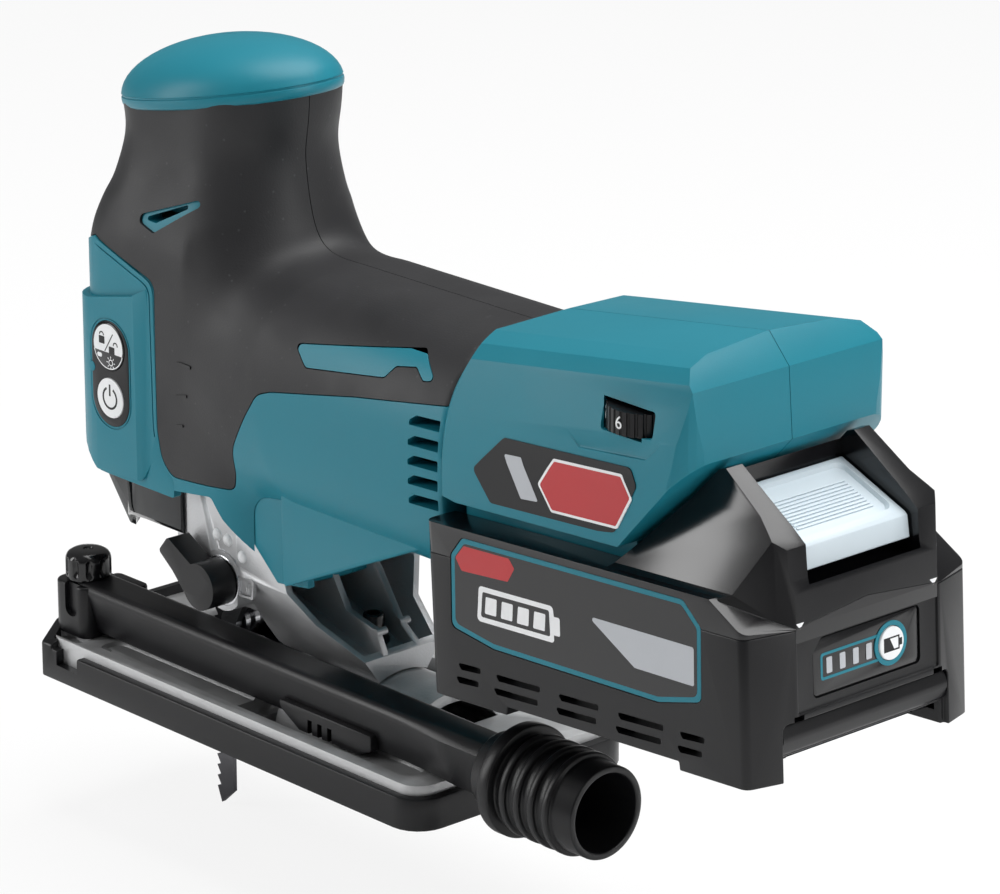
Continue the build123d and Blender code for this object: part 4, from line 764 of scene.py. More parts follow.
keep_side(half_form, (CAP_MIDDLE[0], 0, CAP_MIDDLE[1] - 0.5), (-math.sin(CAP_LEAN), 0, math.cos(CAP_LEAN)))


def grown(points, by):
    """An outline moved outwards all round by a distance."""
    count = len(points)
    area = sum(points[i - 1][0] * points[i][1] - points[i][0] * points[i - 1][1] for i in range(count))
    turn = 1 if area > 0 else -1
    moved = []
    for i in range(count):
        here = Vector(points[i][:2])
        into, away = (here - Vector(points[i - 1][:2])).normalized(), (Vector(points[(i + 1) % count][:2]) - here).normalized()
        out = (Vector((into.y, -into.x)) + Vector((away.y, -away.x))) * turn
        out = out / max(out.length_squared / 2, 0.35)
        moved.append((here.x + out.x * by, here.y + out.y * by, *points[i][2:]))
    return moved


JOINT = 0.28
room = prism("room", rounded(COVER_ROOM, 0), -60, 60)
cut(half_form, room)
hollow = prism("hollow", rounded([(-68, 40), (-68, 121), (5, 121), (5, 40)], 0), -24.6, 30)
neck_hollow = prism("neck_hollow", rounded([(-58.5, -22.4), (-13, -22.4), (-13, 30), (-58.5, 30)], 9), 119, 138.6, "Z")
cut(hollow, neck_hollow, "UNION")
plunger_hollow = prism("plunger_hollow", rounded([(-56, -12), (-31, -12), (-31, 30), (-56, 30)], 10), 130, 165.6, "Z")
cut(hollow, plunger_hollow, "UNION")
motor_hollow = loft(
    "motor_hollow",
    [
        [(x, 27.2 * math.cos(2 * math.pi * i / 64), 95 + 27.2 * math.sin(2 * math.pi * i / 64)) for i in range(64)]
        for x in (-7, 84)
    ],
)
cut(hollow, motor_hollow, "UNION")
cut(half_form, hollow)

long_insert_left = copied(half_form, "long_insert_left")
neck_insert_left = copied(half_form, "neck_insert_left")
rubber_left = copied(half_form, "rubber_grip_left")
panel_left = half_form
panel_left.name = "side_panel_left"
region = prism("region", rounded(RUBBER, 0), -60, 60)
side_window = prism("side_window", rounded(grown(SIDE_INSERT, JOINT), 1), -60, 10)
corner_window = prism("corner_window", rounded(CORNER_INSERT, 1), -60, -16)
cut(rubber_left, region, "INTERSECT")
cut(rubber_left, side_window)
cut(rubber_left, corner_window)
wide_region = prism("wide_region", rounded(grown(RUBBER, JOINT), 0), -60, 60)
cut(panel_left, wide_region)
undercut = prism("undercut", rounded(UNDERCUT, 0), -60, 60)
cut(panel_left, undercut)
print("rubber", len(rubber_left.data.polygons), "panel", len(panel_left.data.polygons))

# %% [markdown]
# The teal inserts in the rubber show the hard housing under it. The long one is flush with the barrel, so it
# is cut out of the same form. The triangle on the neck is a small hollow frame that lies a little deeper.

# %% Inserts in the rubber
insert_shape = prism("insert_shape", rounded(SIDE_INSERT, 1), -60, -24)
cut(long_insert_left, insert_shape, "INTERSECT")
soften(long_insert_left, 0)
frame_shape = prism("frame_shape", rounded(grown(CORNER_INSERT, -0.1), 1.4), -60, -16.2)
cut(neck_insert_left, frame_shape, "INTERSECT")
NECK_INSERT_DEPTH = 0.7
into_edit(neck_insert_left)
bpy.ops.transform.translate(value=(0, NECK_INSERT_DEPTH * MM, 0))
out_of_edit()
frame_hole = prism("frame_hole", rounded(grown(CORNER_INSERT, -2.3), 0.8), -60, -19.5)
cut(neck_insert_left, frame_hole)
soften(neck_insert_left, 0)
for piece in (long_insert_left, neck_insert_left):
    dress(mirrored(piece, piece.name.replace("left", "right")), teal_moulding, "body")
    dress(piece, teal_moulding, "body")
print("inserts ready")

# %% [markdown]
# The panel carries five cooling slots near its rear end and ends below in a skirt that hides the top of the
# casting. The slots are thin blocks cut through the skin, and the skirt is a block with a slanted lower edge.

# %% Side panels with skirt and vents
VENT_COUNT, VENT_PITCH, VENT_LOW = 5, 5.2, 87.0
for i in range(VENT_COUNT):
    low = VENT_LOW + i * VENT_PITCH
    slot_outline = [(71.0, low), (82.4, low + 0.6), (82.4, low + 3.5), (73.4, low + 2.9), (71.0, low + 1.4)]
    cut(panel_left, prism("vent", rounded(slot_outline, 0.4), -60, -20))
SKIRT_FRONT = [(-11.5, 68), (-7.2, 61.4, 2), (9.3, 46.8, 1.5), (22.0, 48.6), (22.0, 72)]
SKIRT_BLOCK = [(13.6, 73.0, 2), (14.4, 47.6, 1), (70.5, 73.2), (73.0, 85.5), (20.5, 79.2, 2)]
for outline, face, hollow in ((SKIRT_FRONT, -24.4, -22.2), (SKIRT_BLOCK, -26.6, -24.3)):
    skirt = prism("skirt", rounded(outline, 0), face, -0.12)
    soften(skirt, 0.5, 2)
    cut(skirt, prism("skirt_hollow", [(-20, 30), (-20, 64), (80, 64), (80, 30)], hollow, 5))
    cut(panel_left, skirt, "UNION")
RIDGES = [
    [(-29.2, 99.6), (-24.0, 101.8), (-18.6, 101.9), (-18.6, 101.0), (-24.0, 100.9)],
    [(-28.8, 91.4), (-20.6, 93.4), (-20.6, 92.5)],
    [(-28.2, 83.2), (-22.4, 84.6), (-22.4, 83.8)],
]
for i, ridge in enumerate(RIDGES):
    patch = copied(rubber_left, "ridge_%d" % (i + 1))
    cut(patch, prism("ridge_shape", rounded(ridge, 0.2, 2), -60, -24), "INTERSECT")
    into_edit(patch)
    bpy.ops.transform.translate(value=(0, -0.3 * MM, 0))
    out_of_edit()
    soften(patch, 0)
    dress(mirrored(patch, "ridge_right_%d" % (i + 1)), grip_rubber, "body")
    dress(patch, grip_rubber, "body")
for piece, material, node in ((panel_left, teal_moulding, "housing"), (rubber_left, grip_rubber, "grip")):
    soften(piece, 0)
    right = mirrored(piece, piece.name.replace("left", "right"))
    dress(right, material, "body", node + "_right")
    dress(piece, material, "body", node + "_left")
print("panel faces", len(panel_left.data.polygons), "rubber faces", len(rubber_left.data.polygons))

# %% [markdown]
# The cap is a shallow dome that overhangs the rubber, with a fine groove above its rim. Its rings are ovals
# on a plane that leans forward with the palm, and a thin seam runs over its middle.

# %% Cap
CAP_HALF_LENGTH, CAP_HALF_WIDTH, CAP_RISE = 35.6, 25.2, 14.4
CAP_RIM = [(0.90, -2.3), (0.965, -2.3), (0.985, -2.0), (0.995, -1.4), (1.0, -0.4), (0.998, 0.3), (0.988, 0.55), (0.988, 0.9)]


def on_cap(a, b, rise):
    """A point of the cap's leaning plane, in mm."""
    x = CAP_MIDDLE[0] + a * math.cos(CAP_LEAN) - rise * math.sin(CAP_LEAN)
    return (x, b, CAP_MIDDLE[1] + a * math.sin(CAP_LEAN) + rise * math.cos(CAP_LEAN))


cap_rows = list(CAP_RIM)
for step in range(15):
    rise = 0.995 * math.sin(math.radians(4.5 + step * 84.5 / 14))
    cap_rows.append((math.sqrt(1 - rise * rise), CAP_RISE * rise))
cap_rings = []
for size, rise in cap_rows:
    oval = squircle(0, CAP_HALF_LENGTH * size, CAP_HALF_WIDTH * size, 2.06)
    cap_rings.append([on_cap(a, b, rise) for a, b in oval])
cap_left = loft("cap_left", cap_rings)
keep_side(cap_left, (0, -0.08, 0), (0, 1, 0))
soften(cap_left, 0)
cap_right = mirrored(cap_left, "cap_right")
dress(cap_left, teal_moulding, "body")
dress(cap_right, teal_moulding, "body")
print("cap rings", len(cap_rings))

# %% [markdown]
# The rear box holds the electronics. It is a facetted case: a side outline meets a crowned section that
# follows its sloping top. Both are extruded and intersected, and the facets keep small radii between them.

# %% Rear box
RAIL_START, RAIL_PITCH = (84.0, 90.0), math.radians(3.5)
BOX_FRONT, BOX_REAR, BOX_HALF = 84.8, 174.5, 36.0
BOX_SLOPE = math.radians(8.25)
TOP_FRONT = (97.0, 137.1)


def on_rail(u, v, w):
    """A point along, across and above the battery's rail, in mm."""
    x = RAIL_START[0] + u * math.cos(RAIL_PITCH) - w * math.sin(RAIL_PITCH)
    return (x, v, RAIL_START[1] + u * math.sin(RAIL_PITCH) + w * math.cos(RAIL_PITCH))


def rail_block(name, u, v, w):
    """A block square to the rail."""
    corners = [(v[0], w[0]), (v[1], w[0]), (v[1], w[1]), (v[0], w[1])]
    return loft(name, [[on_rail(along, a, b) for a, b in corners] for along in u])


def box_floor(x):
    """Height of the box's floor, which runs along the rail."""
    return RAIL_START[1] + (x - RAIL_START[0]) * math.tan(RAIL_PITCH) + 3 / math.cos(RAIL_PITCH)


rear_top = TOP_FRONT[1] + (BOX_REAR - TOP_FRONT[0]) * math.tan(BOX_SLOPE)
box_side = [
    (BOX_FRONT, TOP_FRONT[1] - 5.5),
    (TOP_FRONT[0], TOP_FRONT[1] + 1.0),
    (BOX_REAR - 9.0, rear_top),
    (BOX_REAR - 1.5, rear_top - 8.0),
    (BOX_REAR, rear_top - 26.0),
    (BOX_REAR - 23.3, box_floor(BOX_REAR - 23.3)),
    (BOX_FRONT + 8.0, box_floor(BOX_FRONT + 8.0)),
    (BOX_FRONT, box_floor(BOX_FRONT) + 1.5),
]
rear_box_left = prism("rear_box_left", box_side, -45, 45)
half_section = [(0, 0.6), (22, -0.7), (29, -2.6), (32, -6), (35, -20), (36, -30), (35.2, -64)]
section = half_section + [(-y, z) for y, z in reversed(half_section[1:])]
crown_rings = []
for along in (-60, 120):
    crown_rings.append(
        [
            (
                TOP_FRONT[0] + along * math.cos(BOX_SLOPE) - z * math.sin(BOX_SLOPE),
                y,
                TOP_FRONT[1] + along * math.sin(BOX_SLOPE) + z * math.cos(BOX_SLOPE),
            )
            for y, z in section
        ]
    )
cut(rear_box_left, loft("crown", crown_rings), "INTERSECT")
corner_plan = [(20, -36.5), (BOX_REAR, -36.5, 9), (BOX_REAR, 36.5, 9), (20, 36.5)]
cut(rear_box_left, prism("corner_plan", rounded(corner_plan, 0, 7), 60, 160, "Z"), "INTERSECT")
FLARE = ((BOX_FRONT - 0.1, -0.5), (BOX_FRONT + 40, -36), (200, -36))
flare = loft("flare", [barrel_ring(x, shrink, 0) for x, shrink in FLARE])
cut(rear_box_left, flare, "INTERSECT")
soften(rear_box_left, 1.3, 3, 12)
cut(rear_box_left, rail_block("box_room", (5, 70), (-29.5, 29.5), (6, 36)))
cut(rear_box_left, rail_block("terminal_window", (15.8, 40.2), (-13.2, 13.2), (0, 7)))
keep_side(rear_box_left, (0, -0.1, 0), (0, 1, 0))
rear_box_right = mirrored(rear_box_left, "rear_box_right")
print("rear box faces", len(rear_box_left.data.polygons))

# %% [markdown]
# A dark slanted badge lies on the left of the box. Its words are left out, so it is a plain plate with a pale
# stripe and a bare six-sided field. Each plate is cut from the box's own form and lifted a little, which makes
# it follow the curved side.

# %% Badge on the box
BADGE = [(99.8, 104.4, 1.5), (110.7, 114.9, 2), (155.8, 118.4, 2), (158.2, 114.4, 2), (150.3, 100.6, 2), (144.7, 99.6, 2), (106.2, 96.9, 1.5)]
BADGE_STRIPE = [(111.3, 111.0), (117.4, 111.6), (123.6, 101.6), (117.4, 100.9)]
BADGE_FIELD = [(124.4, 106.4), (129.4, 113.5), (152.8, 115.5), (155.9, 110.8), (151.0, 102.5), (128.6, 100.9)]


def lifted(form, name, outline, lift, material):
    """A patch of a form's left skin inside an outline, lifted outwards."""
    patch = copied(form, name)
    cut(patch, prism("patch_shape", outline, -60, -24), "INTERSECT")
    into_edit(patch)
    bpy.ops.transform.translate(value=(0, -lift * MM, 0))
    out_of_edit()
    soften(patch, 0)
    return dress(patch, material, "body")


lifted(rear_box_left, "badge_plate", rounded(BADGE, 0), 0.25, black_moulding)
lifted(rear_box_left, "badge_stripe", rounded(BADGE_STRIPE, 0.4, 3), 0.31, grey_print)
lifted(rear_box_left, "badge_edge", rounded(grown(BADGE_FIELD, 0.7), 1.0), 0.31, white_print)
lifted(rear_box_left, "badge_field", rounded(BADGE_FIELD, 0.8), 0.37, red_print)
print("badge ready")

# %% [markdown]
# The speed dial looks out of a window in an eight-sided pocket on the left of the box.

# %% Dial window and rails
DIAL_MIDDLE = (152.0, 129.0)
pocket = [(137.0, 135.4), (161.7, 138.4), (165.2, 136.6), (164.9, 125.6), (160.4, 121.3), (137.2, 118.9), (131.8, 122.5), (132.2, 131.2)]
pocket_shape = prism("pocket_shape", rounded(pocket, 1.2), -45, -34.9)
soften(pocket_shape, 0.5, 2)
cut(rear_box_left, pocket_shape)
window = [(143.9, 131.6), (162.0, 133.4), (162.2, 126.6), (143.9, 125.0)]
cut(rear_box_left, prism("window", rounded(window, 1.2), -45, -30))
dial_room = loft(
    "dial_room",
    [
        [(152 + 10.6 * math.cos(2 * math.pi * i / 48), -26.6 + 10.6 * math.sin(2 * math.pi * i / 48), z) for i in range(48)]
        for z in (125.2, 133.2)
    ],
)
cut(rear_box_left, dial_room)
for piece in (rear_box_left, rear_box_right):
    soften(piece, 0)
    dress(piece, teal_moulding, "body")
for side, name in ((-1, "left"), (1, "right")):
    web = sorted((side * 24.0, side * 27.6))
    rail = rail_block("rail_" + name, (4, 66), web, (-5, 3.4))
    lip = rail_block("rail_lip", (4, 66), sorted((side * 20.4, side * 24.2)), (-5, -2.4))
    cut(rail, lip, "UNION")
    soften(rail, 0.3, 2)
    dress(rail, teal_moulding, "body")
print("dial window cut")

# %% [markdown]
# The front cover is a thin shell that wraps the nose of the tool. Its lower part stands out as a raised panel
# with a broad chamfer at the rear, and a fine line follows its upper and rear edges. Shell and panel share one
# kind of plan, so the panel is the same form a little larger, trimmed to its own outline.

# %% Front cover
COVER_FRONT, COVER_HALF, COVER_SKIN = -72.0, 29.5, 2.4


def nose_plan(front, half, corner):
    """Plan of the nose, open towards the rear."""
    return rounded([(front, -half, corner), (-20, -half), (-20, half), (front, half, corner)], 0, 9)


cover = prism("front_cover_shell", nose_plan(COVER_FRONT, COVER_HALF, 15), 60, 134, "Z")
COVER_SIDE = [
    (-80, 124.4),
    (-67.5, 126.0, 4),
    (-60.5, 128.9, 2),
    (-34.9, 120.7, 4),
    (-34.3, 80.6, 14),
    (-32.5, 72.2, 6),
    (-27.4, 67.5, 2),
    (-27.4, 62.5, 1),
    (-63, 62.5, 2),
    (-72.5, 70, 2),
    (-80, 70),
]
cut(cover, prism("cover_side", rounded(COVER_SIDE, 0), -50, 50), "INTERSECT")
RAISED = [
    (-95, 108.0),
    (-61.5, 111.8, 1.5),
    (-42.6, 116.0, 1),
    (-37.4, 119.0, 0.5),
    (-36.6, 100, 30),
    (-36.3, 84, 14),
    (-35.4, 73, 6),
    (-40.0, 64.4, 3),
    (-59.5, 63.4, 2),
    (-68.5, 70.8, 2),
    (-95, 70.8),
]
RAISED_HALF, CHAMFER_START = 30.7, -42.0
raised_panel = prism("raised_panel", nose_plan(COVER_FRONT - 1.6, RAISED_HALF, 14.5), 60, 134, "Z")
cut(raised_panel, prism("raised_side", rounded(RAISED, 0), -50, 50), "INTERSECT")
for side in (-1, 1):
    keep_side(raised_panel, (CHAMFER_START, side * RAISED_HALF, 90), (0.235, side * 0.972, 0))
soften(raised_panel, 0.4, 2, 12)
soften(cover, 0.5, 2, 25)
cut(cover, raised_panel, "UNION")
edge_line = prism("edge_line", rounded(grown(COVER_SIDE, -1.25), 0), -45, 45)
cut(edge_line, prism("line_inside", rounded(grown(COVER_SIDE, -1.7), 0), -50, 50))
cut(edge_line, prism("line_part", [(-64, 78), (-64, 140), (-30, 140), (-30, 78)], -50, 50), "INTERSECT")
cut(edge_line, prism("line_depth", [(-90, 50), (-90, 140), (-20, 140), (-20, 50)], -29.2, 29.2))
cut(cover, edge_line)
cut(cover, prism("cover_inside", nose_plan(COVER_FRONT + COVER_SKIN, COVER_HALF - COVER_SKIN, 12.6), 50, 140, "Z"))
SWITCH_X, SWITCH_Z, SWITCH_WIDE, SWITCH_TALL = -52.3, 92.1, 7.9, 14.8


def stadium(grow):
    """Outline of the switch panel, grown by a distance."""
    wide, tall = SWITCH_WIDE + grow, SWITCH_TALL + grow
    corners = [(-wide, tall, wide - 0.01), (wide, tall, wide - 0.01), (wide, -tall, wide - 0.01), (-wide, -tall, wide - 0.01)]
    return rounded([(SWITCH_X + x, SWITCH_Z + z, r) for x, z, r in corners], 0, 12)


rim_groove = prism("rim_groove", stadium(0.9), -45, -30.45)
cut(rim_groove, prism("rim_inside", stadium(0.45), -50, -20))
cut(cover, rim_groove)
cut(cover, prism("switch_room", stadium(0.1), -45, -20))
soften(cover, 0)
dress(cover, teal_moulding, "body", "front_cover")
print("cover faces", len(cover.data.polygons))

# %% [markdown]
# The battery hangs on a rail that climbs a little towards the rear, so its pieces are drawn square to that
# rail. Along, across and above the rail are easier to think in than the room's own axes.

# %% Drawing square to the rail
def rail_prism(name, outline, low, high, axis):
    """A prism square to the rail: (along, above) pushed ACROSS, (along, across) pushed UP, (across, above) ALONG."""
    places = {
        "ACROSS": lambda a, b, depth: on_rail(a, depth, b),
        "UP": lambda a, b, depth: on_rail(a, b, depth),
        "ALONG": lambda a, b, depth: on_rail(depth, a, b),
    }
    put = places[axis]
    return loft(name, [[put(a, b, depth) for a, b in outline] for depth in (low, high)])


PACK_LENGTH, PACK_HALF, PACK_BOTTOM, PACK_SPLIT, PACK_SHOULDER = 116.3, 38.5, -48.0, -10.6, -2.5
CORNER_ALONG, CORNER_ACROSS = 4.0, 13.5


def pack_plan(inset):
    """Plan of the battery with its cut rear corners."""
    end, half = PACK_LENGTH - inset, PACK_HALF - inset
    cut_across = half - CORNER_ACROSS
    return [(inset, -half, 3), (end - CORNER_ALONG, -half, 2.5), (end, -cut_across, 2), (end, cut_across, 2), (end - CORNER_ALONG, half, 2.5), (inset, half, 3)]


print("pack length", PACK_LENGTH)

# %% [markdown]
# The lower case is a tub. On the real battery its rear corners stand out as pillars with feet, the charge
# panel lies in a shallow field between them, and a rounded bar runs below it. Five pairs of slots in each
# side let air out. The cuts are made in that order, from the large ones to the small ones.

# %% Battery lower case
FRONT_FOOT_END, REAR_FOOT_START, FOOT_HEIGHT = 26.0, 91.0, 2.2
lower_case = rail_prism("battery_lower_case_skin", rounded(pack_plan(0), 3, 4), PACK_BOTTOM, PACK_SPLIT, "UP")
arch = [(FRONT_FOOT_END, -60), (FRONT_FOOT_END + 2.4, PACK_BOTTOM + FOOT_HEIGHT), (REAR_FOOT_START - 1.6, PACK_BOTTOM + FOOT_HEIGHT), (REAR_FOOT_START, -60)]
cut(lower_case, rail_prism("arch", arch, -60, 60, "ACROSS"))
under = [(88.0, -60), (88.0, -44.9), (108.6, -44.9), (109.8, -42.4), (120, -41.6), (120, -60)]
under_cut = rail_prism("under_cut", under, -27.5, 27.5, "ACROSS")
cut(lower_case, under_cut)
field = [(-24.2, -5), (24.2, -5), (24.2, -31.8, 1), (-24.2, -31.8, 1)]
cut(lower_case, rail_prism("field", rounded(field, 0), PACK_LENGTH - 0.7, 120, "ALONG"))
bar_room = [(-28.6, -33.4, 2), (28.6, -33.4, 2), (28.6, -50), (-28.6, -50)]
cut(lower_case, rail_prism("bar_room", rounded(bar_room, 0), PACK_LENGTH - 2.8, 120, "ALONG"))
soften(lower_case, 0.9, 3)
bar_profile = [(PACK_LENGTH - 7, -33.6), (PACK_LENGTH - 2.6, -33.6, 2), (PACK_LENGTH - 1.0, -37.4, 3), (PACK_LENGTH - 2.6, -42.0, 2), (PACK_LENGTH - 7, -42.0)]
rear_bar = rail_prism("rear_bar", rounded(bar_profile, 0, 6), -28.4, 28.4, "ACROSS")
cut(lower_case, rear_bar, "UNION")
WALL = 2.2
inside = rail_prism("inside", rounded(pack_plan(WALL + 1.0), 2, 3), PACK_BOTTOM + 3.2, 0, "UP")
cut(lower_case, inside)
for side in (-1, 1):
    cut(lower_case, rail_block("corner_hole", (PACK_LENGTH - 3.4, 120), sorted((side * 22.4, side * 25.6)), (-33.4, -32.0)))
SLOT_GROUPS = [(10.4, 19.0), (24.4, 40.8), (47.2, 61.8), (68.3, 84.5), (89.8, 98.6)]
for start, stop in SLOT_GROUPS:
    for high, lean in ((-37.9, 0.0), (-41.6, -1.0)):
        slot_outline = [(start + lean, high), (stop + lean, high + 0.3), (stop + lean, high - 1.3), (start + lean + 1.3, high - 1.7)]
        cut(lower_case, rail_prism("air_slot", rounded(slot_outline, 0.5, 3), -60, 60, "ACROSS"))
LABEL = [(94.3, 81.0, 2), (98.4, 86.2, 2), (176.6, 91.2, 2), (182.8, 85.8, 2), (183.3, 67.0, 2), (168.8, 63.0, 3), (110.1, 60.1, 3), (94.6, 62.0, 2)]
label_room = prism("label_room", rounded(grown(LABEL, 0.25), 0), -45, -38.1)
cut(lower_case, label_room, keep=True)
charge_field = [(-18.5, -29.4, 1.5), (18.5, -29.4, 1.5), (18.5, -14.5, 1.5), (-15.5, -14.5, 1.5), (-18.5, -18.0, 1.5)]
cut(lower_case, rail_prism("charge_field", rounded(charge_field, 0, 4), PACK_LENGTH - 1.7, 120, "ALONG"))
check_hole = [(8.5 + 4.5 * math.cos(math.pi * i / 20), -22 + 4.5 * math.sin(math.pi * i / 20)) for i in range(40)]
cut(lower_case, rail_prism("check_hole", check_hole, PACK_LENGTH - 8, 120, "ALONG"))
soften(lower_case, 0)
dress(lower_case, black_moulding, "battery", "battery_lower_case")
print("lower case faces", len(lower_case.data.polygons))

# %% [markdown]
# The glossy upper case carries the head that hangs in the rails and the hump behind the rear box. Its
# shoulders fall away at the rear corners, which gives the bright slanted facets. The hump has a deep seat
# for the release button with a thick rim on both sides.

# %% Battery upper case
upper_case = rail_prism("battery_upper_case_skin", rounded(pack_plan(0), 3, 4), PACK_SPLIT + 0.12, PACK_SHOULDER, "UP")
for side in (-1, 1):
    fall = Vector((0.53 * math.cos(RAIL_PITCH) - 0.84 * math.sin(RAIL_PITCH), side * 0.09, 0.53 * math.sin(RAIL_PITCH) + 0.84 * math.cos(RAIL_PITCH)))
    keep_side(upper_case, on_rail(101.5, side * PACK_HALF, PACK_SHOULDER), fall)
hump_profile = [(64, -6), (64, -2.6), (69.5, 2.4), (92.0, 24.6), (94.4, 25.2), (111.0, 12.6), (115.0, 9.2), (115.4, 1.4), (PACK_LENGTH - 0.1, -2.0), (PACK_LENGTH - 0.1, -14.0), (108, -14.0), (108, -6)]
hump = rail_prism("hump", hump_profile, -45, 45, "ACROSS")
hump_section = [(-37.6, -3.4), (-34.4, -1.6), (-25.6, 16), (-24.2, 28), (24.2, 28), (25.6, 16), (34.4, -1.6), (37.6, -3.4), (24.0, -14.2), (-24.0, -14.2)]
cut(hump, rail_prism("hump_section", hump_section, 60, 120, "ALONG"), "INTERSECT")
rear_plan = [(60, -45), (103, -36.5), (113.0, -27.5), (PACK_LENGTH, -24.2), (PACK_LENGTH, 24.2), (113.0, 27.5), (103, 36.5), (60, 45)]
cut(hump, rail_prism("rear_plan", rear_plan, -30, 40, "UP"), "INTERSECT")
cut(upper_case, hump, "UNION")
SEAT_FAR, SEAT_HALF, SEAT_LIP = 89.5, 19.2, 1.5
seat = [(SEAT_FAR, 10), (SEAT_FAR, 40), (125, 40), (125, SEAT_LIP), (115.9, SEAT_LIP), (115.8, -2.4), (106.6, -2.4), (97.2, 4.2)]
soften(upper_case, 1.1, 3, 24)
cut(upper_case, rail_prism("seat", seat, -SEAT_HALF, SEAT_HALF, "ACROSS"))
channel = rail_block("channel", (-1, 66.4), (-28.2, 28.2), (-5.4, 20))
cut(upper_case, channel)
head = rail_block("head", (2, 66.4), (-20.0, 20.0), (-6.4, 2.6))
flange = rail_block("flange", (2, 66.4), (-23.6, 23.6), (-2.0, 2.6))
cut(head, flange, "UNION")
for side in (-1, 1):
    middle = side * 9.0
    cut(head, rail_block("contact_slot", (1, 36), (middle - 1.7, middle + 1.7), (-3.5, 10)))
cut(upper_case, head, "UNION")
cut(upper_case, rail_prism("upper_inside", rounded(pack_plan(WALL + 1.0), 2, 3), -20, -7.4, "UP"))
cut(upper_case, label_room)
soften(upper_case, 0)
dress(upper_case, black_gloss, "battery", "battery_upper_case")
print("upper case faces", len(upper_case.data.polygons))

# %% [markdown]
# A long plate with a coloured edge is let into the battery's left side. The words of the real plate are left
# out. Its place holds a pale slanted band and the plain sign of a charged battery.

# %% Side plate
def thin(name, outline, face, material, body, depth=0.5):
    """A thin plate on the left side, its outer face at a given distance from the middle."""
    plate = prism(name, outline, -face, -face + depth)
    soften(plate, 0)
    return dress(plate, material, body)


thin("plate_edge", rounded(LABEL, 0), 38.36, teal_moulding, "battery")
thin("plate_field", rounded(grown(LABEL, -1.3), 0), 38.40, black_gloss, "battery")
BAND = [(144.0, 78.2), (180.6, 80.2), (180.9, 70.4), (160.5, 69.4)]
thin("plate_band", rounded(BAND, 0.6, 3), 38.43, grey_print, "battery")
HEXAGON = [(95.9, 80.6, 0.6), (99.0, 84.3, 0.8), (115.6, 85.4, 0.8), (117.6, 83.2, 0.6), (115.2, 79.2, 0.8), (98.2, 77.6, 0.8)]
thin("plate_hexagon", rounded(HEXAGON, 0.6), 38.43, red_print, "battery")
CELL_SIGN = [(104.0, 66.0, 1.2), (104.6, 75.4, 1.2), (131.5, 77.2, 1.2), (131.9, 74.6), (134.0, 74.8, 0.5), (134.2, 70.0, 0.5), (132.0, 69.8), (132.2, 67.8, 1.2)]
sign = prism("battery_sign", rounded(CELL_SIGN, 0), -38.43, -38.0)
cut(sign, prism("sign_hole", rounded([(105.4, 67.4), (105.9, 74.1), (130.2, 75.8), (130.7, 69.1)], 0.6), -40, -37))
for i in range(4):
    bar = [(106.8 + i * 5.9, 68.6 + i * 0.35), (107.2 + i * 5.9, 73.1 + i * 0.35), (111.2 + i * 5.9, 73.4 + i * 0.35), (111.0 + i * 5.9, 68.9 + i * 0.35)]
    cut(sign, prism("sign_bar", rounded(bar, 0.3, 2), -38.43, -38.0), "UNION")
soften(sign, 0)
dress(sign, white_print, "battery")
print("side plate ready")

# %% [markdown]
# The charge panel is a smooth black plate with four small lamps in a thin coloured frame. The check button
# stands in a coloured ring at the frame's end and shows a battery sign, which is a common sign.

# %% Charge panel
def rear_plate(name, outline, face, material, body, depth=0.4, hole=None):
    """A thin plate on the battery's rear face, its outer face at a place along the rail."""
    plate = rail_prism(name, outline, face - depth, face, "ALONG")
    if hole:
        cut(plate, rail_prism("hole", hole, face - 5, face + 5, "ALONG"))
    soften(plate, 0)
    return dress(plate, material, body)


def ring_points(middle, radius, count=48):
    """Points of a circle on the rear face."""
    turns = [2 * math.pi * i / count for i in range(count)]
    return [(middle[0] + radius * math.cos(t), middle[1] + radius * math.sin(t)) for t in turns]


CHECK_MIDDLE, FIELD_FACE = (8.5, -22.0), PACK_LENGTH - 1.0
panel_outline = [(-18.1, -29.0, 1.2), (18.1, -29.0, 1.2), (18.1, -14.9, 1.2), (-15.7, -14.9, 1.2), (-18.1, -17.8, 1.2)]
panel_plate = rail_prism("charge_plate", rounded(panel_outline, 0, 4), FIELD_FACE - 0.6, FIELD_FACE, "ALONG")
cut(panel_plate, rail_prism("hole", ring_points(CHECK_MIDDLE, 4.4), 100, 130, "ALONG"))
soften(panel_plate, 0.15, 2)
dress(panel_plate, black_gloss, "battery", "charge_panel")
led_frame = rounded([(-15.6, -25.6, 0.8), (4.6, -25.6, 0.8), (4.6, -18.8, 0.8), (-15.6, -18.8, 0.8)], 0, 4)
led_hole = rounded([(-14.9, -24.9, 0.5), (5.4, -24.9, 0.5), (5.4, -19.5, 0.5), (-14.9, -19.5, 0.5)], 0, 4)
rear_plate("lamp_frame", led_frame, FIELD_FACE + 0.06, teal_moulding, "battery", 0.3, led_hole)
rear_plate("check_ring", ring_points(CHECK_MIDDLE, 5.6), FIELD_FACE + 0.16, teal_moulding, "battery", 0.4, ring_points(CHECK_MIDDLE, 4.4))
for i in range(4):
    left = -13.6 + i * 4.55
    lamp = rounded([(left, -24.2), (left + 1.9, -24.2), (left + 1.9, -20.2), (left, -20.2)], 0.3, 3)
    rear_plate("charge_lamp_%d" % (i + 1), lamp, FIELD_FACE + 0.1, grey_print, "battery", 0.3)
check_cap = rail_prism("check_cap", ring_points(CHECK_MIDDLE, 4.2), PACK_LENGTH - 2.2, PACK_LENGTH - 0.35, "ALONG")
soften(check_cap, 0.35, 3)
dress(check_cap, white_print, "check", "check_button")
sign_outer = [(5.6, -23.9), (5.6, -20.3), (11.0, -20.3), (11.0, -21.2), (11.9, -21.2), (11.9, -23.0), (11.0, -23.0), (11.0, -23.9)]
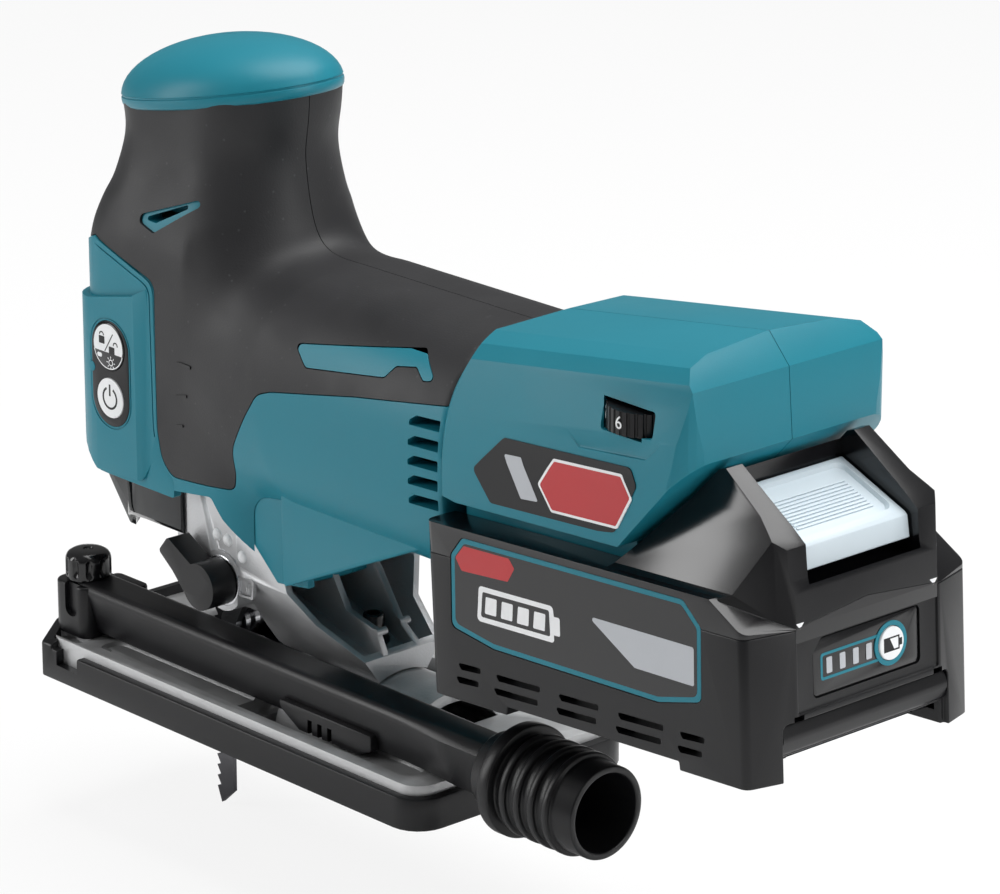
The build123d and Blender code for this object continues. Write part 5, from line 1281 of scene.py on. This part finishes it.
sign_inner = [(6.0, -23.5), (8.6, -23.5), (7.2, -20.7), (6.0, -20.7)]
outline_hole = [(9.1, -23.5), (10.6, -23.5), (10.6, -20.7), (7.7, -20.7)]
rear_plate("check_sign", sign_outer, PACK_LENGTH - 0.31, black_moulding, "check", 0.12, outline_hole)
for side in (-1, 1):
    arrow = [(side * 23.6, -9.1), (side * 26.2, -9.1), (side * 24.9, -10.6)]
    if side < 0:
        arrow.reverse()
    corner_face = PACK_LENGTH - 0.06
    rear_plate("arrow_" + ("left" if side < 0 else "right"), [(v - side * 1.9, w) for v, w in arrow], corner_face, white_print, "battery", 0.2)
print("charge panel ready")

# %% [markdown]
# The release button is a pale block with a sloping top, a steep front and a raised edge round ten fine ribs
# for the thumb. It slides on the slope of its seat.

# %% Release button
BUTTON_HALF = 18.6
button_profile = [(89.9, 12.0), (89.9, 17.6, 0.8), (90.6, 18.0, 0.8), (111.3, 8.1, 1.0), (112.2, 7.3, 0.6), (112.8, 1.65, 0.4), (109.5, 1.6), (98.5, 9.0)]
button = rail_prism("release_button_skin", rounded(button_profile, 0, 3), -BUTTON_HALF, BUTTON_HALF, "ACROSS")
soften(button, 0.5, 2, 40)
TOP_START, TOP_FALL = (90.4, 18.05), math.atan2(8.1 - 18.0, 111.3 - 90.6)


def on_button(along, above):
    """A point on the button's sloping top, as along and above the rail."""
    a = TOP_START[0] + along * math.cos(TOP_FALL) - above * math.sin(TOP_FALL)
    return (a, TOP_START[1] + along * math.sin(TOP_FALL) + above * math.cos(TOP_FALL))


BOWL_DEPTH = 0.9
bowl_rings = []
for grow, above in ((0.0, -BOWL_DEPTH), (1.0, 0.6)):
    bowl = rounded([(2.4 - grow, -16.2 - grow, 2.5), (20.4 + grow, -16.2 - grow, 2.5), (20.4 + grow, 16.2 + grow, 2.5), (2.4 - grow, 16.2 + grow, 2.5)], 0, 5)
    bowl_rings.append([on_rail(*(lambda q: (q[0], v, q[1]))(on_button(along, above))) for along, v in bowl])
cut(button, loft("bowl", bowl_rings))
RIB_COUNT, RIB_PITCH, RIB_START = 10, 1.15, 7.0
for i in range(RIB_COUNT):
    along = RIB_START + i * RIB_PITCH
    rib = [on_button(along, -BOWL_DEPTH - 0.3), on_button(along + 0.62, -BOWL_DEPTH - 0.3), on_button(along + 0.62, 0.32 - BOWL_DEPTH), on_button(along, 0.32 - BOWL_DEPTH)]
    cut(button, rail_prism("rib", rib, -13.0, 13.0, "ACROSS"), "UNION")
soften(button, 0)
dress(button, grey_button, "release", "release_button")
latch = rail_prism("latch_tongue", [(99.4, 8.0), (103.6, 5.2), (103.0, 2.4), (99.6, 4.6)], -8, 8, "ACROSS")
soften(latch, 0.3, 2)
dress(latch, black_moulding, "release", "latch")
print("button faces", len(button.data.polygons))

# %% [markdown]
# Pieces that only need soft edges start from a copy of their solid. The copy's doubled corners are merged
# and its flat faces joined, so that a bevel finds clean edges to work on.

# %% Softened copies
def fresh_copy(node):
    """A merged copy of a solid's mesh that belongs to no body yet."""
    solid = frame["nodes"][node]
    copy = copied(solid, node + "_soft")
    bpy.ops.object.parent_clear(type="CLEAR_KEEP_TRANSFORM")
    for label in list(copy.keys()):
        del copy[label]
    into_edit(copy)
    bpy.ops.mesh.remove_doubles(threshold=0.00001)
    bpy.ops.mesh.dissolve_limited(angle_limit=math.radians(1))
    out_of_edit()
    return copy


def softened(node, width, material, body, segments=2, angle=35):
    """A bevelled copy that stands in for its solid."""
    return dress(soften(fresh_copy(node), width, segments, angle), material, body, node)


def disc(name, middle, radius, low, high, axis="Y", count=48):
    """A round prism; the middle is given on the plane across the axis."""
    turns = [2 * math.pi * i / count for i in range(count)]
    return prism(name, [(middle[0] + radius * math.cos(t), middle[1] + radius * math.sin(t)) for t in turns], low, high, axis)


print("copies ready")

# %% [markdown]
# The gear case is an aluminium casting. Below the skirt its two flanks draw in towards a saddle that rides on
# the base's arch, and two ribs stand in the hollow between them. The tail is a block whose section follows
# the flanks, with three pockets sunk from behind and the ribs put back as plates.

# %% Gear case with its ribbed tail
casting = fresh_copy("gear_housing")
cut(casting, prism("tail_room", [(-8.0, 10), (-8.0, 62), (40, 62), (40, 10)], -60, 60))
TAIL_END, FLANK_HALF, SADDLE_RADIUS = 32.0, 23.4, 22.5
tail_side = [(-9.0, 62), (6.0, 62), (11.8, 44.9), (17.6, 35.6), (TAIL_END, 27.9), (TAIL_END, 15), (0.0, 15), (-9.0, 22.0)]
tail = prism("tail", tail_side, -40, 40)


def flank_section(inset):
    """Section across the tail, drawn in by a wall thickness."""
    half = [(FLANK_HALF - inset, 70), (FLANK_HALF - inset, 44.2), (13.6 - inset, 28.0), (8.6 - inset, 21.0), (8.3 - inset, 10)]
    return [(-y, z) for y, z in half] + [(y, z) for y, z in reversed(half)]


cut(tail, prism("flanks", flank_section(0), -20, 50, "X"), "INTERSECT")
saddle = disc("saddle", (0, 0), SADDLE_RADIUS, -20, 60, "X", 96)
cut(tail, saddle, keep=True)
soften(tail, 0.5, 2)
inner = prism("inner", flank_section(2.0), -20, 50, "X")
for low, high in ((-30, -6.9), (-4.9, 4.9), (6.9, 30)):
    pocket_tool = prism("pocket_tool", [(-6.5, 70), (-6.5, 37.5), (TAIL_END - 1.9, 25.6), (TAIL_END - 1.9, 70)], low, high)
    cut(pocket_tool, inner, "INTERSECT", keep=True)
    cut(tail, pocket_tool)
bpy.data.objects.remove(inner)
RIB_SIDES = [
    (-6.9, -4.9, [(-7, 42.6), (0.5, 40.6), (25.4, 35.2), (28.6, 34.6), (TAIL_END - 0.2, 28.2), (TAIL_END - 0.2, 25), (-7, 30)]),
    (4.9, 6.9, [(-7, 58), (8, 54), (15.9, 45.9), (24.4, 33.6), (TAIL_END - 0.2, 28.0), (TAIL_END - 0.2, 25), (-7, 30)]),
]
for low, high, side in RIB_SIDES:
    plate = prism("rib_plate", side, low, high)
    soften(plate, 0.4, 2)
    cut(tail, plate, "UNION")
    nub = disc("nub", (side[3][0], side[3][1] - 0.9), 1.1, low, high + 1.6, "Y", 20)
    cut(tail, nub, "UNION")
cut(tail, saddle)
bolt_way = disc("bolt_way", (20, 0), 4.4, 10, 60, "Z", 40)
cut(tail, bolt_way)
soften(casting, 0)
cut(casting, tail, "UNION")
DETENTS = [(-16.8, 53.6), (-12.4, 53.1), (-6.4, 49.9)]
for x, z in DETENTS:
    bpy.ops.object.select_all(action="DESELECT")
    bpy.ops.mesh.primitive_uv_sphere_add(segments=24, ring_count=12, radius=2.0 * MM, location=(x * MM, -22.5 * MM, z * MM))
    dot = bpy.context.object
    dot.name = "detent_mark"
    bpy.ops.object.transform_apply(location=True)
    keep_side(dot, (0, -23.0, 0), (0, 1, 0))
    soften(dot, 0)
    dress(dot, white_print, "body")
frame_sign = [(-7.8, 44.0, 0.8), (-1.6, 44.6, 0.8), (-1.8, 38.9, 0.8), (-8.0, 38.4, 0.8)]
sign_plate = prism("sign_plate", rounded(frame_sign, 0), -23.7, -22.6)
cut(sign_plate, prism("sign_hole", rounded(grown(frame_sign, -0.7), 0), -26, -23.3))
for i in range(3):
    cut(sign_plate, prism("sign_line", [(-5.0 + i * 0.9, 43.0), (-4.5 + i * 0.9, 43.0), (-4.5 + i * 0.9, 40.0), (-5.0 + i * 0.9, 40.0)], -23.7, -22.6), "UNION")
cut(casting, sign_plate, "UNION")
soften(casting, 0)
dress(casting, cast_metal, "body", "gear_housing")
bolt = fresh_copy("bevel_bolt")
soften(bolt, 0.5, 2)
cut(bolt, prism("socket", [(20 + 2.1 * math.cos(math.pi * i / 3), 2.1 * math.sin(math.pi * i / 3)) for i in range(6)], 32.5, 40, "Z"))
dress(bolt, black_gloss, "body", "bevel_bolt")
print("casting faces", len(casting.data.polygons))

# %% [markdown]
# The base is an aluminium plate in a black tray. Near its front left corner the plate has a small framed
# pocket with a slot. The tray's wall has a notch beside it and rises to a tall lip with slanted corners.

# %% Base plate and tray
base_plate = fresh_copy("sole_plate")
pocket_rim = [(-76.6, -35.0, 1.5), (-64.8, -35.0, 1.5), (-64.8, -29.6, 1.5), (-76.6, -29.6, 1.5)]
cut(base_plate, prism("plate_pocket", rounded(pocket_rim, 0), 9.6, 20, "Z"))
cut(base_plate, prism("plate_slot", rounded([(-73.4, -34.2), (-67.2, -34.2), (-67.2, -31.8), (-73.4, -31.8)], 0.8), 0, 20, "Z"))
cut(base_plate, disc("screw_hole", (-57.4, -30.6), 1.5, 8.6, 20, "Z", 24))
side_field = [(-60, -32.6, 3), (70, -32.6, 3), (70, -23.6, 3), (-60, -23.6, 3)]
field_rings = []
for grow, height in ((-1.2, 10.7), (0.0, 12.4)):
    field_rings.append([(x, y, height) for x, y in rounded(grown(side_field, grow), 0)])
cut(base_plate, loft("side_field", field_rings))
soften(base_plate, 0.35, 2, 40)
dress(base_plate, plate_metal, "base", "sole_plate")

TRAY_FRONT, TRAY_REAR, TRAY_HALF, TRAY_HEIGHT, TRAY_WALL = -80.5, 80.5, 38.5, 9.0, 2.5


def tray_plan(inset, front_cut, corner):
    """Plan of the tray with slanted front corners and round rear ones."""
    front, rear, half = TRAY_FRONT + inset, TRAY_REAR - inset, TRAY_HALF - inset
    left = [(front + 3.6, -half, 1), (rear, -half, corner), (rear, half, corner), (front + 3.6, half, 1)]
    return rounded(left + [(front, half - front_cut, 2), (front, front_cut - half, 2)], 0, 6)


LIP_HEIGHT, LIP_REAR, LIP_FLAT = 14.4, -72.4, 29.0
tray = prism("tray", tray_plan(0, 8.0, 9.0), 0, LIP_HEIGHT, "Z")
cut(tray, prism("above_tray", [(LIP_REAR, TRAY_HEIGHT), (90, TRAY_HEIGHT), (90, 30), (LIP_REAR, 30)], -50, 50))
for side in (-1, 1):
    keep_side(tray, (TRAY_FRONT, side * LIP_FLAT, LIP_HEIGHT), (0, side * 0.42, 0.907))
soften(tray, 0.6, 2)
cut(tray, prism("tray_inside", tray_plan(TRAY_WALL, 7.0, 6.5), 2.0, 40, "Z"))
cut(tray, prism("blade_slot", [(-62, -4.5), (-18, -4.5), (-18, 4.5), (-62, 4.5)], -1, 5, "Z"))
cut(tray, prism("notch", [(-70.2, 4.8), (-69.6, 20), (-60.4, 20), (-61.0, 4.6)], -45, -35.9))
soften(tray, 0)
print("tray faces", len(tray.data.polygons))
dress(tray, black_moulding, "base", "sole_cover")
print("plate faces", len(base_plate.data.polygons), "tray faces", len(tray.data.polygons))

# %% [markdown]
# The dust nozzle is a moulded duct. It begins as a flat-sided channel behind the knob and turns round where
# the hose cuff sits. Its rings run from a rounded four-sided outline to a circle with the same count.

# %% Dust nozzle
DUCT_MIDDLE, DUCT_RADIUS = (-25.0, 20.5), 8.4
duct_flat = rounded([(-18.4, 28.2, 3.4), (-31.6, 27.6, 2.4), (-27.6, 13.0, 1.6), (-18.4, 12.6, 2.0)], 0, 11)


def duct_ring(x, share, size=1.0):
    """One ring of the duct: share 0 is the flat-sided channel, share 1 the round tube."""
    ring = []
    for y, z in duct_flat:
        away = Vector((y - DUCT_MIDDLE[0], z - DUCT_MIDDLE[1]))
        spot = away.lerp(away.normalized() * DUCT_RADIUS, share) * size
        ring.append((x, DUCT_MIDDLE[0] + spot.x, DUCT_MIDDLE[1] + spot.y))
    return ring


DUCT_STATIONS = [(-70.0, 0), (60, 0), (66, 0.1), (72, 0.35), (78, 0.65), (84, 0.9), (90, 1), (107, 1)]
duct = loft("dust_duct", [duct_ring(x, share) for x, share in DUCT_STATIONS])
boss_plan = [(-79.4, -32.4, 4), (-64.6, -32.4, 3), (-64.6, -17.6, 6), (-79.4, -17.6, 4)]
boss = prism("boss", rounded(boss_plan, 0, 6), 11.75, 26.9, "Z")
soften(boss, 0.7, 3)
recess = [(-73.4, 40), (-73.4, 17.6, 2.4), (-68.2, 17.6, 2.4), (-68.2, 40)]
cut(boss, prism("u_recess", rounded(recess, 0, 7), -40, -31.0))
cut(duct, boss, "UNION")
inlet = prism("inlet", rounded([(-71, -24), (-57, -24), (-57, -15.2, 2), (-71, -15.2, 2)], 0), 14.2, 26.6, "Z")
soften(inlet, 0.6, 2)
cut(duct, inlet, "UNION")
clip = prism("clip", rounded([(17.0, 15.8, 2), (25.0, 11.3, 1), (48.5, 11.3, 1), (54.0, 13.6, 1), (54.0, 18), (17.0, 18)], 0), -30.8, -24)
soften(clip, 0.5, 2)
for i in range(3):
    cut(clip, prism("clip_groove", [(28.6 + i * 4.0, 8), (28.6 + i * 4.0, 15.4), (30.4 + i * 4.0, 15.4), (30.4 + i * 4.0, 8)], -36, -29.4))
cut(duct, clip, "UNION")
cut(duct, loft("duct_bore", [duct_ring(x, share, 0.78) for x, share in DUCT_STATIONS[1:-1]] + [duct_ring(120, 1, 0.78)]))
cut(duct, disc("screw_way", (-72, -25), 2.6, 0, 40, "Z", 32))
soften(duct, 0)
dress(duct, black_moulding, "base", "dust_nozzle")
print("duct faces", len(duct.data.polygons))

# %% [markdown]
# The knob on the nozzle is domed, with rounded flutes for the fingers and a dimple on top. Its rings are
# circles whose radius dips at every flute.

# %% Knob and hose cuff
KNOB_MIDDLE, KNOB_LOW, KNOB_HIGH, FLUTES = (-72.0, -25.0), 27.15, 35.55, 10
KNOB_ROWS = [(5.6, 0.0, 0), (6.3, 0.5, 0), (6.4, 1.2, 0), (6.4, 1.9, 0.5), (6.4, 2.5, 1), (6.4, 5.4, 1), (6.35, 6.1, 0.5), (6.2, 6.6, 0), (5.7, 7.4, 0), (4.6, 8.05, 0), (3.0, 8.35, 0), (1.5, 8.4, 0), (1.2, 8.0, 0)]
knob_rings = []
for radius, height, deep in KNOB_ROWS:
    ring = []
    for i in range(120):
        turn = 2 * math.pi * i / 120
        dip = 0.85 * deep * max(0.0, math.cos(FLUTES * turn)) ** 0.8
        ring.append((KNOB_MIDDLE[0] + (radius - dip) * math.cos(turn), KNOB_MIDDLE[1] + (radius - dip) * math.sin(turn), KNOB_LOW + height))
    knob_rings.append(ring)
knob = loft("nozzle_knob", knob_rings)
cut(knob, disc("knob_shank", KNOB_MIDDLE, 2.45, 5.0, 28.5, "Z", 32), "UNION")
soften(knob, 0)
dress(knob, black_gloss, "thumb_screw", "nozzle_thumb_screw")
softened("hose_cuff", 0.45, black_moulding, "cuff", 2, 40)
print("knob rings", len(knob_rings))

# %% [markdown]
# The lever beside the gear case sets the orbit of the blade. It is a round hub with a stout arm.

# %% Orbit lever
LEVER_PIVOT, HUB_RADIUS, HUB_FACE, HUB_BACK = (-14.5, 41.3), 6.5, -32.4, -24.5
lever = disc("lever", LEVER_PIVOT, HUB_RADIUS, HUB_FACE, HUB_BACK, "Y", 64)
arm_side = [(-27.2, 52.2, 1.0), (-31.0, 47.6, 1.0), (-25.2, 43.2, 2), (-20.6, 38.6), (-14.5, 38), (-11, 44), (-16.6, 46.6)]
arm = prism("arm", rounded(arm_side, 0), HUB_FACE, -25.2)
cut(lever, arm, "UNION")
soften(lever, 0.6, 3, 40)
cut(lever, disc("lever_shaft", LEVER_PIVOT, 3.45, -26, -13.4, "Y", 40), "UNION")
soften(lever, 0)
dress(lever, black_moulding, "orbit", "orbit_lever")
hub_ring = disc("hub_ring", LEVER_PIVOT, 7.1, -24.1, -23.0, "Y", 64)
soften(hub_ring, 0.3, 2)
dress(hub_ring, bright_metal, "body")
print("lever faces", len(lever.data.polygons))

# %% [markdown]
# The switch panel is a long black oval with two round keys. The upper key is half white and half black, with
# plain signs for locked, unlocked and lamp. The lower key is white with the power sign. The signs are thin
# plates that ride with their keys.

# %% Switch panel and keys
switch_plate = prism("switch_plate", stadium(0), -30.85, -29.4)
soften(switch_plate, 0.2, 2, 40)
LIGHT_KEY, LIGHT_RADIUS, POWER_KEY, POWER_RADIUS, KEY_FACE = (-52.6, 99.8), 6.7, (-52.4, 85.2), 5.6, 31.1
cut(switch_plate, disc("light_hole", LIGHT_KEY, LIGHT_RADIUS + 0.2, -45, -30.2, "Y", 64))
cut(switch_plate, disc("power_hole", POWER_KEY, POWER_RADIUS + 0.2, -45, -30.2, "Y", 64))
dress(switch_plate, black_moulding, "body", "switch_panel")
light_key = disc("light_key", LIGHT_KEY, LIGHT_RADIUS, -KEY_FACE, -29.0, "Y", 64)
soften(light_key, 0.25, 2, 40)
dress(light_key, black_gloss, "light", "light_button")
power_key = disc("power_key", POWER_KEY, POWER_RADIUS, -KEY_FACE, -29.0, "Y", 64)
soften(power_key, 0.25, 2, 40)
dress(power_key, white_print, "power", "power_button")


def key_sign(name, shapes, holes, material, body, face=KEY_FACE + 0.05):
    """A thin sign on a key: outlines joined, then holes cut out of them."""
    sign = prism(name, shapes[0], -face, -face + 0.2)
    for shape in shapes[1:]:
        cut(sign, prism("shape", shape, -face, -face + 0.2), "UNION")
    for hole in holes:
        cut(sign, prism("hole", hole, -face - 1, -face + 1))
    soften(sign, 0)
    return dress(sign, material, body)


def arc(middle, radius, first, last, count=24):
    """Points of an arc, angles in degrees."""
    turns = [math.radians(first + (last - first) * i / count) for i in range(count + 1)]
    return [(middle[0] + radius * math.cos(t), middle[1] + radius * math.sin(t)) for t in turns]


def band(middle, radius, width, first, last, count=24):
    """A curved strip."""
    return arc(middle, radius + width / 2, first, last, count) + arc(middle, radius - width / 2, last, first, count)


DIVIDE_ANGLE = 16.0
white_half = arc(LIGHT_KEY, LIGHT_RADIUS - 0.5, -DIVIDE_ANGLE, 180 + DIVIDE_ANGLE, 40)
key_sign("light_key_white", [white_half], [], white_print, "light")
lower_edge = band(LIGHT_KEY, LIGHT_RADIUS - 0.45, 0.28, 180 + DIVIDE_ANGLE, 360 - DIVIDE_ANGLE, 32)
key_sign("light_key_edge", [lower_edge], [], white_print, "light")
closed_body = rounded([(-56.5, 100.2), (-54.1, 100.2), (-54.1, 102.3), (-56.5, 102.3)], 0.2, 2)
closed_bow = band((-55.3, 102.6), 0.85, 0.34, 0, 180, 14)
open_body = rounded([(-52.2, 97.9), (-49.8, 97.9), (-49.8, 100.0), (-52.2, 100.0)], 0.2, 2)
open_bow = band((-49.4, 100.6), 0.85, 0.34, -10, 190, 14)
slash = [(-54.2, 98.3), (-53.9, 98.2), (-50.3, 103.6), (-50.6, 103.7)]
for name, shapes in (("lock_closed", [closed_body, closed_bow]), ("lock_open", [open_body, open_bow]), ("lock_slash", [slash])):
    key_sign(name, shapes, [], black_moulding, "light", KEY_FACE + 0.1)
LAMP_SIGN = (-51.6, 95.4)
rays = []
for i in range(8):
    turn = math.radians(45 * i)
    out, across = Vector((math.cos(turn), math.sin(turn))), Vector((-math.sin(turn), math.cos(turn))) * 0.13
    inner, outer = Vector(LAMP_SIGN) + out * 1.25, Vector(LAMP_SIGN) + out * 1.8
    rays.append([tuple(inner - across), tuple(outer - across), tuple(outer + across), tuple(inner + across)])
key_sign("lamp_sign", [arc(LAMP_SIGN, 0.95, 0, 337.5, 15)] + rays, [arc(LAMP_SIGN, 0.68, 0, 337.5, 15)], white_print, "light")
pill = rounded([(-57.4, 96.2), (-55.4, 96.2), (-55.4, 97.4), (-57.4, 97.4)], 0.55, 4)
key_sign("lamp_pill", [pill], [], white_print, "light")
power_ring = band(POWER_KEY, 2.9, 0.62, 118, 422, 40)
power_bar = [(POWER_KEY[0] - 0.31, POWER_KEY[1] + 0.6), (POWER_KEY[0] + 0.31, POWER_KEY[1] + 0.6), (POWER_KEY[0] + 0.31, POWER_KEY[1] + 3.9), (POWER_KEY[0] - 0.31, POWER_KEY[1] + 3.9)]
for name, shape in (("power_ring", power_ring), ("power_bar", power_bar)):
    key_sign(name, [shape], [], black_moulding, "power")
tab = disc("cover_tab", (-60.3, 92.6), 1.5, -31.0, -29.6, "Y", 32)
soften(tab, 0.3, 2)
dress(tab, teal_moulding, "body")
print("keys ready")

# %% [markdown]
# The dial's rim carries its numbers. They are made as text, turned to mesh and stood up on the rim.

# %% Dial numbers
DIAL_AXIS, DIAL_RADIUS, DIAL_SPREAD = (152.0, -26.6), 10.03, 52.0
for number in range(1, 7):
    turn = math.radians((number - 6) * DIAL_SPREAD + 2)
    bpy.ops.object.select_all(action="DESELECT")
    bpy.ops.object.text_add(location=(0, 0, 0))
    digit = bpy.context.object
    digit.data.body = str(number)
    digit.data.size = 4.6 * MM
    digit.data.extrude = 0.06 * MM
    digit.data.align_x = "CENTER"
    digit.data.align_y = "CENTER"
    bpy.ops.object.convert(target="MESH")
    digit.name = "dial_number_%d" % number
    x = DIAL_AXIS[0] + DIAL_RADIUS * math.sin(turn)
    y = DIAL_AXIS[1] - DIAL_RADIUS * math.cos(turn)
    digit.rotation_euler = (math.radians(90), 0, turn)
    digit.location = (x * MM, y * MM, 129.0 * MM)
    bpy.ops.object.transform_apply(location=True, rotation=True, scale=True)
    into_edit(digit)
    bpy.ops.mesh.remove_doubles(threshold=0.000005)
    bpy.ops.mesh.normals_make_consistent(inside=False)
    out_of_edit()
    dress(digit, white_print, "dial")
print("dial numbered")

# %% [markdown]
# The dust cover is a smoked, almost black shell in front of the blade clamp. It has a slanted finger plate at
# the front and a raised tongue on each side. It is thin, so the dark plastic lets a little light through.

# %% Dust cover
SHELL_FRONT, SHELL_HALF, SHELL_LOW, SHELL_HIGH, SHELL_REAR = -66.0, 22.0, 41.5, 61.9, -34.2


def shell_plan(inset):
    """Plan of the dust cover, open at the rear."""
    return rounded([(SHELL_FRONT + inset, -SHELL_HALF + inset, 13), (SHELL_REAR + inset, -SHELL_HALF + inset), (SHELL_REAR + inset, SHELL_HALF - inset), (SHELL_FRONT + inset, SHELL_HALF - inset, 13)], 0, 8)


shell = prism("dust_cover_shell", shell_plan(0), SHELL_LOW, SHELL_HIGH, "Z")
finger = [(-72.0, 58.6, 0.8), (-71.8, 55.6, 1.2), (-62.6, 43.6), (-58, 43.6), (-62, 58.6)]
finger_plate = prism("finger_plate", rounded(finger, 0), -17.5, 17.5)
soften(finger_plate, 0.6, 2)
for side in (-1, 1):
    ridge_out = [(-58.4, 61.6), (-57.0, 50.5, 4), (-51.8, 44.6, 3), (-47.2, 50.5, 4), (-46.0, 61.6)]
    ridge = prism("ridge", rounded(ridge_out, 0), *sorted((side * 20.0, side * 22.0)))
    cut(ridge, prism("ridge_inside", rounded(grown(ridge_out, -1.3), 0), *sorted((side * 21.5, side * 24.0))))
    cut(shell, ridge, "UNION")
    lower = [(side * 23, 51), (side * 23, 40), (side * 12.5, 40)]
    if side > 0:
        lower.reverse()
    cut(shell, prism("lower_corner", lower, -80, -20, "X"))
shell_side = [(-68, 63), (-68, 55), (-61.2, 47.2, 5), (-56.5, 43.6, 5), (-46.5, 41.2, 2), (-30, 41.2), (-30, 63)]
cut(shell, prism("shell_side", rounded(shell_side, 0), -30, 30), "INTERSECT")
cut(shell, finger_plate, "UNION")
soften(shell, 0.4, 2, 40)
cut(shell, prism("shell_inside", shell_plan(1.5), 40, 70, "Z"))
soften(shell, 0)
dress(shell, smoked_clear, "shield", "dust_cover")
print("dust cover faces", len(shell.data.polygons))
